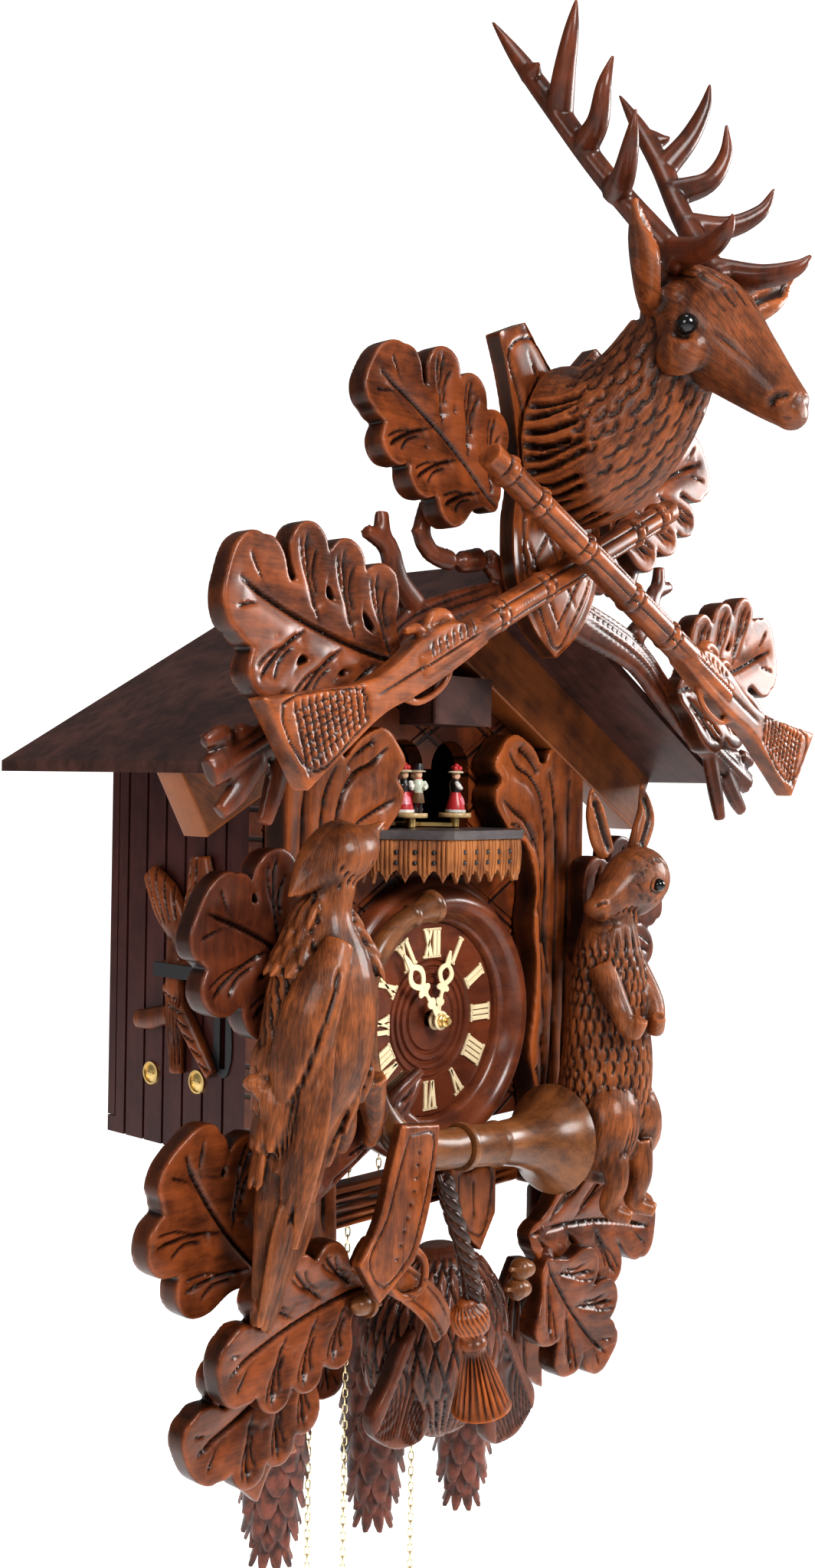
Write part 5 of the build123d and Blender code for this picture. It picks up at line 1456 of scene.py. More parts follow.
class CLOCK_OT_stag(bpy.types.Operator):
    """Carve the stag's head and its antlers"""

    bl_idname = "clock.stag"
    bl_label = "Carve the stag"

    def execute(self, context):
        stag = bmesh.new()
        limb(stag, [(0, -251, 134), (0, -272, 134), (0, -292, 142), (0, -312, 160), (0, -330, 186)],
             [(43, 50), (41, 48), (38, 43), (31, 38), (26, 30)], segments=28)
        limb(stag, [(0, -322, 210), (0, -334, 203), (0, -352, 188), (0, -374, 166), (0, -393, 147),
                    (0, -406, 135)],
             [(22, 20), (29, 27), (31, 29), (21, 22), (15.5, 15.5), (12, 11)], segments=24)
        ball(stag, (0, -404, 134), (11.5, 9, 9.5))
        ball(stag, (0, -330, 212), (22, 18, 22))
        for side in (-1, 1):
            ball(stag, (side * 21, -346, 203), (12, 12, 10))
            ball(stag, (side * 25, -350, 172), (10, 16, 14))
            ball(stag, (side * 12, -358, 196), (10, 18, 9), turn=(-40, 0, 0))
            ear = [(side * 24, -328, 200), (side * 42, -338, 206), (side * 64, -350, 222),
                   (side * 84, -358, 238)]
            limb(stag, ear, [(7, 6), (10, 7), (12, 7), (2, 2)], segments=14, side=(0, 0.6, 0.8))
        remeshed(stag, 1.7, 4)
        strokes = []
        for side in (-1, 1):
            eye = Vector((side * 31, -357, 184))
            rim = [eye + Vector((side * 2.0, -7.5 * math.cos(a), 6.5 * math.sin(a)))
                   for a in np.linspace(0, 2 * math.pi, 13)]
            strokes.append((rim, 3.2, 2.2, "V"))
            strokes.append(([eye + Vector((0, -7, -5)), eye + Vector((-side * 2, -13, -11))], 2.2, 2.0, "V"))
            strokes.append(([(side * 9, -408, 142), (side * 12.5, -402, 141), (side * 13, -398, 137)],
                            3.0, 3.0, "V"))
            strokes.append(([(side * 7, -412, 128), (side * 14, -398, 130), (side * 18, -384, 134)],
                            1.8, 2.0, "V"))
            strokes.append(([(side * 30, -334, 201), (side * 48, -345, 212), (side * 66, -356, 224),
                             (side * 78, -361, 234)], 5.0, 5.0, "U"))
            strokes.append(([(side * 17, -398, 152), (side * 20, -380, 170), (side * 24, -366, 182)],
                            2.4, 1.0, "V"))
        for step in range(25):
            turn = math.radians(-208 + 236 * (step + 0.5) / 25)
            cos, sin = math.cos(turn), math.sin(turn)
            wave = 5 * math.sin(step * 1.7)
            strokes.append(([(43 * cos, -254, 134 + 50 * sin), (43 * cos + 2, -268, 133 + 50 * sin + wave * 0.4),
                             (40 * cos + 1, -290 - wave, 138 + 46 * sin + wave)], 3.0, 5.2, "V"))
        neck = skin_of([(0, -272, 134), (0, -292, 142), (0, -312, 160), (0, -330, 186), (0, -345, 196),
                        (0, -374, 166)],
                       [(41, 48), (38, 43), (31, 38), (27, 31), (30, 29), (21, 22)])
        for row in range(15):
            share = 0.16 + 0.052 * row
            for column in range(21):
                angle = column * 360 / 21 + 8.6 * (row % 2) + 3 * math.sin(row * 2.3 + column)
                if share < 0.62 or not 200 < angle % 360 < 340:
                    strokes.append(([neck(share - 0.03, angle), neck(share, angle + 3),
                                     neck(share + 0.035, angle + 1)], 1.9, 1.7, "V"))
        for column in range(9):
            x = -14 + 3.5 * column
            strokes.append(([(x * 0.8, -322, 232), (x, -340, 224), (x * 1.1, -360, 206)], 1.7, 2.6, "V"))
            strokes.append(([(x * 0.8, -356, 209), (x * 0.9, -368, 196), (x * 0.7, -380, 182)], 1.6, 2.0, "V"))
        carve(stag, strokes)
        lay_flow(stag, [(0, -406, 135), (0, -374, 166), (0, -345, 195), (0, -312, 165), (0, -282, 138),
                        (0, -251, 134)])
        piece("stag_carved", stag, "case", finish_of("hair"), ["stag_head"], 60)
        eyes = bmesh.new()
        for side in (-1, 1):
            ball(eyes, (side * 31, -357, 184), 6.0, subdivisions=3)
        ball(eyes, (-134, -221, -113), 3.2, subdivisions=3)
        ball(eyes, (140, -232, -136), 4.5, subdivisions=3)
        piece("glass_eye_beads", eyes, "case", finish_of("glass"), ["glass_eyes"])

        antlers = bmesh.new()
        beam = [(19.5, -348, 221), (25, -332, 240), (40, -306, 276), (53, -284, 312), (60, -262, 345),
                (64, -243, 373)]
        tines = [
            ([(22, -340, 230), (30, -366, 223), (38, -384, 226), (42, -392, 233)], [8, 7.4, 5, 1.2]),
            ([(36, -312, 266), (54, -330, 266), (68, -344, 276), (73, -350, 290)], [8.4, 6.8, 4.6, 1.0]),
            ([(46, -296, 292), (57, -314, 298), (63, -322, 314), (59, -325, 331)], [8.6, 6.6, 4.4, 1.0]),
            ([(53, -284, 312), (63, -295, 330), (68, -303, 348), (69, -307, 364)], [8.4, 6.6, 4.4, 1.0]),
            ([(58, -266, 338), (64, -274, 336), (67, -280, 337)], [6.4, 4.6, 1.2]),
        ]
        limb(antlers, beam, [(8.5, 8), (8, 7.6), (8.4, 6.4), (9.5, 6), (7.4, 4.8), (1.2, 1.0)], segments=14)
        limb(antlers, [(19.5, -349, 219), (21, -345, 224), (22.5, -341, 229)], [7.6, 9.6, 7.0], segments=16)
        for points, sizes in tines:
            limb(antlers, points, sizes, segments=12)
        remeshed(antlers, 1.15, 2)
        strokes = []
        path = smooth_path(beam, 3)
        for turn in range(6):
            angle = turn * math.pi / 3 + 0.3
            offset = np.array([math.cos(angle), math.sin(angle) * 0.8, math.sin(angle) * 0.6]) * 5.6
            strokes.append((path[1:-4] + offset + np.sin(np.arange(len(path) - 5))[:, None] * 0.8, 1.1, 0.9, "V"))
        for step in range(7):
            share = step / 6
            spot = np.array([26 + 14 * share, -360 - 26 * share, 224 + 4 * share])
            strokes.append(([spot + (2, -3, 5), spot + (-1, 2, -5)], 1.2, 1.4, "V"))
        carve(antlers, strokes)
        mirrored(antlers)
        piece("antlers_carved", antlers, "case", finish_of("antler"), ["antlers"], 60)
        return {"FINISHED"}


# ---- bodies of animals ------------------------------------------------------------------
def scallops(skin, shares, angles, size, half_width=2.1, depth=2.8):
    """Rows of curved cuts, like the tips of breast feathers."""
    strokes = []
    for row, share in enumerate(shares):
        for angle in angles:
            middle = angle + (size / 2 if row % 2 else 0)
            path = [skin(share - 0.012, middle - size * 0.48), skin(share + 0.010, middle - size * 0.2),
                    skin(share + 0.016, middle), skin(share + 0.010, middle + size * 0.2),
                    skin(share - 0.012, middle + size * 0.48)]
            strokes.append((path, half_width, depth, "V"))
    return strokes


def plumes(bm, skin, shares, angles, size, lift=4.0):
    """Rows of overlapping feathers or tufts, each rising off the body towards its tip."""
    for row, share in enumerate(shares):
        for angle in angles:
            middle = angle + (size / 2 if row % 2 else 0)
            points = [skin(share, middle, -1.0), skin(share + 0.030, middle + 1, 0.35 * lift),
                      skin(share + 0.060, middle, 0.75 * lift), skin(share + 0.078, middle, lift)]
            across = skin(share, middle + 8) - skin(share, middle - 8)
            wide = 0.5 * across.length * size / 16
            limb(bm, points, [(wide * 0.6, 1.5), (wide, 2.2), (wide * 0.8, 1.8), (wide * 0.2, 0.8)], segments=8,
                 side=across, steps=2)


class CLOCK_OT_bird(bpy.types.Operator):
    """Carve the bird on its branch"""

    bl_idname = "clock.bird"
    bl_label = "Carve the bird"

    def execute(self, context):
        y = -204.0
        spine = [(-146, y - 3, -112), (-147, y - 2, -126), (-150, y, -144), (-150, y, -176), (-156, y, -220),
                 (-170, y, -262), (-184, y, -308), (-194, y, -362)]
        sizes = [(12, 13), (13, 14), (15, 16), (30, 29), (33, 31), (23, 19), (14, 9), (7, 4)]
        bm = bmesh.new()
        limb(bm, spine, sizes, segments=24)
        limb(bm, [(-173, y + 2, -131), (-160, y - 2, -120), (-144, y - 5, -111), (-130, y - 6, -105),
                  (-119, y - 5, -98), (-109, y - 6, -91)],
             [(3, 4), (10, 10), (17, 17), (13.5, 13.5), (5.5, 5), (0.8, 0.8)], segments=20)
        limb(bm, [(-176, y + 2, -133), (-164, y + 1, -112), (-148, y - 1, -98), (-130, y - 4, -97)],
             [(1, 2), (4.5, 7), (5, 8), (3, 4)], segments=12)
        for index in range(8):
            spread = index / 7
            start = (-172 - 8 * spread, y - 26 + 34 * spread, -196 - 6 * index)
            end = (-189 - 7 * spread, y - 20 + 26 * spread, -318 + 13 * index)
            middle = (-183 - 12 * spread, y - 28 + 34 * spread, (start[2] + end[2]) / 2)
            limb(bm, [start, middle, end], [(5, 3.0), (7.5, 4.2), (2.0, 1.4)], segments=10,
                 side=(0.5, -0.8, 0.1))
        limb(bm, [(-160, y - 22, -156), (-176, y - 20, -186), (-184, y - 14, -222), (-186, y - 8, -256)],
             [(8, 7), (16, 10), (15, 9), (4, 4)], segments=16, side=(0.4, -0.9, 0))
        for index in range(6):
            x = -204 + 5.6 * index
            limb(bm, [(-168 - 3 * index * 0.4, y - 10 + index, -262), (x + 12, y - 13 + 2 * index, -310),
                      (x + 2 * index * 0.2, y - 10 + 3 * index, -366 + 4 * abs(index - 2))],
                 [(7, 4), (6.4, 3.4), (2.6, 1.4)], segments=10)
        for side in (-1, 1):
            limb(bm, [(-138 + 12 * side, y - 12, -236), (-130 + 11 * side, y - 10, -262),
                      (-128 + 12 * side, y - 4, -276)], [(11, 11), (6, 6), (4, 4)], segments=10)
        skin = skin_of(spine, sizes)
        plumes(bm, skin, np.linspace(0.24, 0.36, 4), range(-200, 60, 22), 22, 4.2)
        plumes(bm, skin, np.linspace(0.56, 0.74, 4), range(-200, 60, 26), 26, 4.0)
        remeshed(bm, 1.35, 1)
        strokes = []
        for row, share in enumerate(np.linspace(0.27, 0.70, 15)):
            for column in range(17):
                angle = -205 + 15.6 * column + 7.5 * (row % 2)
                strokes.append(([skin(share - 0.012, angle + 8), skin(share + 0.012, angle + 2),
                                 skin(share + 0.034, angle - 7)], 1.9, 2.3, "V"))
        for column in range(12):
            angle = -190 + 20 * column
            strokes.append(([skin(0.06, angle), skin(0.15, angle + 4), skin(0.26, angle + 2)], 1.6, 2.0, "V"))
        for index in range(7):
            x = -160 + 5 * index
            strokes.append(([(x + 3, y - 17, -112), (x - 1, y - 17, -121), (x - 4, y - 14, -128)],
                            1.5, 2.2, "V"))
        for index in range(11):
            lift = index / 10
            strokes.append(([(-168 - 12 * lift, y - 38 + 26 * lift, -164 - 3 * index),
                             (-182 - 9 * lift, y - 36 + 30 * lift, -200 - 5 * index),
                             (-192 - 4 * lift, y - 30 + 26 * lift, -262 - 2 * index)], 2.2, 3.4, "V"))
        for index in range(9):
            x = -205 + 4.2 * index
            strokes.append(([(-182 + 1.2 * index, y - 20, -268), (x + 12, y - 18, -312), (x + 2, y - 14, -362)],
                            2.0, 3.0, "V"))
        eye = Vector((-134, y - 17, -113))
        strokes.append(([eye + Vector((5.5 * math.cos(a), -1, 4.8 * math.sin(a)))
                         for a in np.linspace(0, 6.283, 11)], 1.5, 1.5, "V"))
        strokes.append(([(-110, y - 14, -97), (-122, y - 16, -104), (-130, y - 16, -107)], 1.2, 1.4, "V"))
        carve(bm, strokes)
        lay_flow(bm, spine)
        piece("bird_carved", bm, "case", finish_of("feather"), ["bird_on_branch"], 60)

        perch = bmesh.new()
        route = [(-178, -190, -314), (-150, -190, -298), (-112, -190, -278), (-76, -190, -260), (-58, -188, -248)]
        limb(perch, route, [(9, 10), (12, 12), (12, 11), (11, 11), (7, 8)], segments=10)
        limb(perch, [(-110, -196, -276), (-104, -204, -260), (-108, -206, -248)], [7, 6, 4], segments=8)
        limb(perch, [(-86, -190, -264), (-72, -196, -270), (-60, -198, -278)], [7, 5, 4], segments=8)
        limb(perch, [(-150, -196, -296), (-160, -206, -284), (-172, -208, -282)], [7, 5, 3.5], segments=8)
        limb(perch, [(-98, -192, -270), (-84, -200, -252), (-68, -204, -240)], [6, 5, 3.5], segments=8)
        remeshed(perch, 1.5, 1)
        bark = skin_of(route, [(9, 10), (12, 12), (12, 11), (11, 11), (7, 8)])
        strokes = []
        for index in range(26):
            angle = index * 67 % 360
            start = 0.05 + 0.8 * (index * 37 % 26) / 26
            strokes.append(([bark(start, angle), bark(start + 0.10, angle + 14), bark(start + 0.18, angle + 6)],
                            1.5, 2.2, "V"))
        carve(perch, strokes)
        paint_side_shade(perch, 0.3)
        piece("perch", perch, "case", finish_of("antler"))
        return {"FINISHED"}


class CLOCK_OT_hare(bpy.types.Operator):
    """Carve the hare that stands at the right"""

    bl_idname = "clock.hare"
    bl_label = "Carve the hare"

    def execute(self, context):
        y = -204.0
        spine = [(108, y + 6, -336), (116, y + 2, -300), (122, y, -262), (122, y, -222), (122, y, -186),
                 (122, y, -164)]
        sizes = [(20, 18), (32, 29), (33, 31), (29, 27), (24, 24), (18, 19)]
        head = [(163, y - 3, -141), (150, y - 7, -134), (132, y - 8, -136), (112, y - 8, -146), (97, y - 7, -153)]
        head_sizes = [(13, 13), (23, 21), (21, 19), (13, 12), (8.5, 9)]
        bm = bmesh.new()
        limb(bm, spine, sizes, segments=24)
        limb(bm, [(122, y, -172), (128, y, -152), (134, y - 1, -138)], [(19, 19), (17, 18), (16, 17)],
             segments=18)
        limb(bm, head, head_sizes, segments=20, side=(0, 0, 1))
        ball(bm, (97, y - 6, -151), (7, 8, 7))
        for ear in ([(148, y - 2, -116), (155, y - 3, -102), (160, y - 3, -88), (157, y - 1, -67)],
                    [(120, y + 2, -116), (111, y + 1, -102), (105, y + 1, -86), (101, y + 1, -71)]):
            limb(bm, ear, [(7, 6), (10.5, 5), (9, 4.5), (1.5, 1.5)], segments=14)
        ball(bm, (104, y - 14, -296), (22, 22, 32), turn=(0, 12, 0))
        ball(bm, (138, y - 12, -296), (18, 20, 30), turn=(0, -14, 0))
        for x in (98, 126):
            limb(bm, [(x, y - 22, -310), (x - 2, y - 28, -330), (x - 4, y - 24, -348), (x + 4, y - 36, -354)],
                 [(12, 12), (8, 8), (7, 7), (5, 5)], segments=12)
        for side in (-1, 1):
            limb(bm, [(122 + side * 18, y - 8, -192), (118 + side * 20, y - 26, -216),
                      (116 + side * 14, y - 34, -232), (112 + side * 10, y - 42, -222)],
                 [(10, 10), (8, 8), (6, 6), (4.5, 5)], segments=12)
        ball(bm, (156, y + 6, -288), (13, 10, 15))
        ball(bm, (140, y - 12, -146), (16, 9, 12))
        remeshed(bm, 1.45, 2)
        skin = skin_of(spine, sizes)
        strokes = []
        for row in range(17):
            for column in range(22):
                angle = column * 360 / 22 + 8 * (row % 2) + 3 * math.sin(row + column)
                share = 0.10 + row * 0.046
                strokes.append(([skin(share + 0.026, angle), skin(share, angle + 3), skin(share - 0.028, angle + 1)],
                                1.7, 2.0, "V"))
        for row in range(5):
            for column in range(8):
                x, z = 112 + 7 * column + 3 * (row % 2), -118 - 8 * row
                strokes.append(([(x, y - 24, z), (x + 4, y - 24, z - 2), (x + 7, y - 24, z - 6)], 1.5, 1.2, "V"))
        for column in range(13):
            angle = math.radians(-200 + 215 * column / 12)
            strokes.append(([(122 + 17 * math.cos(angle), y + 18 * math.sin(angle), -150),
                             (122 + 21 * math.cos(angle), y + 21 * math.sin(angle), -164),
                             (122 + 24 * math.cos(angle), y + 24 * math.sin(angle), -180)], 2.4, 4.0, "V"))
        for x, hand in ((104, -1), (138, 1)):
            for step in range(7):
                shift = -12 + 4 * step
                strokes.append(([(x + shift - 2, y - 34, -276), (x + shift, y - 37, -294),
                                 (x + shift + 3 * hand, y - 33, -314)], 2.0, 2.6, "V"))
        eye = Vector((140, y - 28, -136))
        strokes.append(([eye + Vector((6.6 * math.cos(a), 2, 5.4 * math.sin(a)))
                         for a in np.linspace(0, 6.283, 11)], 2.0, 2.2, "V"))
        strokes.append(([(91, y - 12, -157), (98, y - 15, -158), (108, y - 17, -160)], 1.6, 2.2, "V"))
        strokes.append(([(92, y - 11, -149), (97, y - 14, -147), (102, y - 15, -149)], 1.6, 2.2, "V"))
        for ear in ([(149, y - 7, -114), (156, y - 8, -100), (160, y - 7, -88), (157, y - 4, -74)],
                    [(119, y - 4, -114), (111, y - 4, -101), (105, y - 3, -87), (102, y - 2, -77)]):
            strokes.append((ear, 4.4, 3.4, "U"))
        carve(bm, strokes)
        lay_flow(bm, [*spine, (140, y, -136), (97, y - 6, -152)])
        piece("hare_carved", bm, "case", finish_of("feather"), ["hare"], 60)
        return {"FINISHED"}


# ---- horn, straps, bag and tassel -------------------------------------------------------
class CLOCK_OT_game(bpy.types.Operator):
    """Carve the hunting horn, the straps, the bag, the cord with its tassel, and the ribbons"""

    bl_idname = "clock.game"
    bl_label = "Carve the hunting gear"

    def execute(self, context):
        horn = bmesh.new()
        tube = [(-40, -186, -145), (-56, -186, -149), (-72, -186, -156), (-88, -186, -170), (-98, -186, -190),
                (-101, -188, -215), (-99, -191, -245), (-90, -195, -268), (-74, -198, -284),
                (-52, -200, -291), (-30, -200, -293)]
        limb(horn, tube, [9.5, 6.5, 6.5, 7, 7.3, 7.8, 8.4, 9.4, 11, 12, 12.5], segments=24)
        turn = Matrix.Translation((-30, -200, -293)) @ Matrix.Rotation(math.radians(95.7), 4, "Y")
        bell = [(0.2, 2), (12.5, 2), (14.6, 2.5), (15.2, 5), (14.6, 7.5), (13.0, 8.5), (13.2, 34), (13.8, 35),
                (14.8, 37), (14.0, 39.5), (13.8, 41), (15.4, 58), (19.5, 74), (25.5, 85), (32.5, 93),
                (34.8, 95.5), (35.8, 97), (34.6, 98), (31, 95.5), (24, 88), (17.5, 76), (12.5, 58), (8, 40),
                (0.2, 38)]
        turned(horn, bell, turn, segments=48)
        for place, radius in (((-40, -186, -145), 10.6), ((-58, -186, -150), 7.6)):
            lean = Matrix.Translation(place) @ Matrix.Rotation(math.radians(74), 4, "Y")
            turned(horn, [(0.2, -3), (radius - 1.5, -3), (radius, -1.2), (radius, 1.2), (radius - 1.5, 3),
                          (0.2, 3)], lean, segments=28)
        piece("horn_turned", horn, "case", finish_of("horn"), ["hunting_horn"], 40)

        straps = bmesh.new()
        left = [(-103, -266, 1), (-73, -270, 1), (-77, -300), (-86, -330), (-93, -344, 1), (-120, -361, 1),
                (-136, -338, 1), (-121, -318), (-112, -292)]
        part = bmesh.new()
        flat_cut(part, [left], 8.5, facing_front(-219.5), rounded=1.4)
        remeshed(part, 1.25, 1)
        inner = [(-99, -272), (-78, -274), (-82, -302), (-91, -330), (-98, -342), (-118, -354), (-130, -337),
                 (-116, -316), (-107, -292), (-99, -272)]
        strokes = [(inner, 1.1, 1.3, "V")]
        for step in range(9):
            share = step / 8
            x, z = -90 - 18 * share**1.5, -282 - 58 * share
            strokes.append(([(x - 1.2, z), (x + 1.2, z - 1)], 1.3, 1.4, "V"))
        carve(part, strokes, plane=(0, 2))
        paint_side_shade(part, 0.8)
        merge(straps, part)
        right = [(3, -316, 1), (45, -316, 1), (46, -340), (46, -353, 1), (32, -374, 1), (7, -354, 1), (4, -336)]
        part = bmesh.new()
        flat_cut(part, [right], 9.5, facing_front(-165.0), rounded=1.4)
        remeshed(part, 1.4, 1)
        inner = [(9, -322), (40, -322), (40, -350), (31, -366), (12, -351), (9, -322)]
        carve(part, [(inner, 1.3, 1.5, "V"), ([(24, -328), (25, -352)], 1.6, 1.6, "V")], plane=(0, 2))
        paint_side_shade(part, 0.7)
        merge(straps, part)
        part = bmesh.new()
        band = [(-120, -203, -338), (-100, -205, -352), (-78, -206, -366), (-56, -205, -384), (-42, -202, -402)]
        limb(part, band, [(3.5, 11)] * 5, segments=12, side=(0, 1, 0))
        loop = [(-86, -212, -338), (-74, -214, -350), (-76, -214, -366), (-92, -212, -368), (-102, -212, -354),
                (-98, -212, -342), (-86, -212, -338)]
        limb(part, loop, [2.6] * 7, segments=10, side=(0, 1, 0))
        remeshed(part, 1.3, 1)
        edge = [[(px, pz + lift) for px, _, pz in band] for lift in (-7.5, 7.5)]
        carve(part, [(edge[0], 1.1, 1.1, "V"), (edge[1], 1.1, 1.1, "V")], plane=(0, 2))
        paint_side_shade(part, 0.5)
        merge(straps, part)
        piece("straps_carved", straps, "case", finish_of("carved"), ["carved_straps"])

        spine = [(0, -160, -367), (0, -160, -380), (0, -160, -412), (0, -160, -448), (0, -160, -478),
                 (0, -160, -489)]
        sizes = [(12, 10), (38, 23), (58, 35), (55, 35), (29, 22), (8, 7)]
        bag = bmesh.new()
        limb(bag, spine, sizes, segments=36)
        remeshed(bag, 1.5, 1)
        skin = skin_of(spine, sizes)
        strokes = []
        for index in range(26):
            angle = index * 360 / 26
            for lean in (-1, 1):
                strokes.append(([skin(s, angle + lean * 62 * s) for s in np.linspace(0.08, 0.62, 8)],
                                1.9, 2.4, "V"))
        for index in range(46):
            angle = index * 360 / 46
            strokes.append(([skin(0.62, angle), skin(0.76, angle + 2), skin(0.97, angle + 3)], 1.8, 3.0, "V"))
        carve(bag, strokes)
        lay_flow(bag, spine)
        piece("bag_carved", bag, "case", finish_of("bag"), ["game_bag"], 60)

        fans = bmesh.new()
        for x, y, z, lean, wide in ((-46, -176, -440, 22, 32), (34, -186, -458, -18, 30)):
            part = bmesh.new()
            fan = [(-5, 34), (5, 34), (wide * 0.62, -6), (wide * 0.72, -26), (wide * 0.3, -34),
                   (-wide * 0.3, -34), (-wide * 0.72, -26), (-wide * 0.62, -6)]
            flat_cut(part, [fan], 12.0, facing_front(0.0), rounded=3.0)
            remeshed(part, 1.3, 1)
            pleats = [([(0.8 * k, 30), (wide * 0.08 * k, -36)], 1.5, 2.4, "V") for k in range(-8, 9)]
            carve(part, pleats, plane=(0, 2))
            place = Matrix.Translation((x, y, z)) @ Matrix.Rotation(math.radians(lean), 4, "Y")
            bmesh.ops.transform(part, matrix=place, verts=part.verts)
            paint_side_shade(part, 0.6)
            merge(fans, part)
        piece("bag_fringe", fans, "case", finish_of("dark_leaf"))

        cord = [(-80, -234, -296), (-74, -234, -314), (-64, -234, -336), (-55, -233, -356), (-50, -232, -374)]
        tassel = bmesh.new()
        for strand in range(3):
            winding = []
            for step, point in enumerate(smooth_path(cord, 8)):
                turn = step * 0.62 + strand * 2.094
                winding.append((point[0] + 2.9 * math.cos(turn), point[1] + 2.9 * math.sin(turn), point[2]))
            limb(tassel, winding, [3.1] * len(winding), segments=8, side=(0, 1, 0), steps=1)
        place = Matrix.Translation((-50, -230, -386)) @ Matrix.Rotation(math.radians(-12), 4, "Y")
        turned(tassel, [(0.2, 14), (5, 13), (7, 10), (11, 5), (12, 0), (11, -6), (7.5, -10), (6.6, -12), (8, -14),
                        (8.2, -17), (7, -19), (9, -26), (13, -40), (17.5, -55), (16.5, -57), (0.2, -56)],
               place, segments=36, steps=2)
        strokes = []
        for index in range(22):
            turn = index * 2 * math.pi / 22
            strokes.append(([place @ Vector((r * math.cos(turn), r * math.sin(turn), h))
                             for r, h in ((7.4, -20), (9, -26), (13, -40), (17.3, -56))], 1.2, 2.0, "V"))
            strokes.append(([place @ Vector((r * math.cos(turn + a), r * math.sin(turn + a), h))
                             for r, h, a in ((7, 10, 0), (11.8, 3, 0.3), (11.8, -3, 0.55), (8, -10, 0.8))],
                            1.0, 1.2, "V"))
        bmesh.ops.subdivide_edges(tassel, edges=tassel.edges[:], cuts=1, use_grid_fill=True)
        carve(tassel, strokes)
        piece("tassel_carved", tassel, "case", finish_of("carved"), ["tassel"], 50)

        ribbons = bmesh.new()
        pieces_of_ribbon = [
            ([(-166, -398, 1), (-134, -408, 1), (-128, -440), (-120, -466, 1), (-136, -466), (-150, -485, 1),
              (-166, -470), (-184, -455, 1), (-177, -428)], -152.5),
            ([(86, -396, 1), (98, -398, 1), (104, -424), (116, -462), (118, -491, 1), (98, -482), (80, -499, 1),
              (68, -486), (56, -481, 1), (64, -440), (76, -412)], -152.5),
        ]
        for outline, y in pieces_of_ribbon:
            part = bmesh.new()
            flat_cut(part, [outline], 8.5, facing_front(y), rounded=1.2)
            remeshed(part, 1.4, 1)
            sign = 1 if outline[0][0] > 0 else -1
            strokes = []
            for shift in (-9, 0, 9):
                if sign < 0:
                    strokes.append(([(-150 + shift * 0.6, -408), (-152 + shift, -436), (-152 + shift * 1.3, -466)],
                                    1.8, 2.2, "V"))
                else:
                    strokes.append(([(88 + shift * 0.4, -404), (86 + shift, -440), (86 + shift * 1.4, -482)],
                                    1.8, 2.2, "V"))
            carve(part, strokes, plane=(0, 2))
            paint_side_shade(part, 0.7)
            merge(ribbons, part)
        piece("ribbons_carved", ribbons, "case", finish_of("leaf"), ["ribbons"])
        return {"FINISHED"}


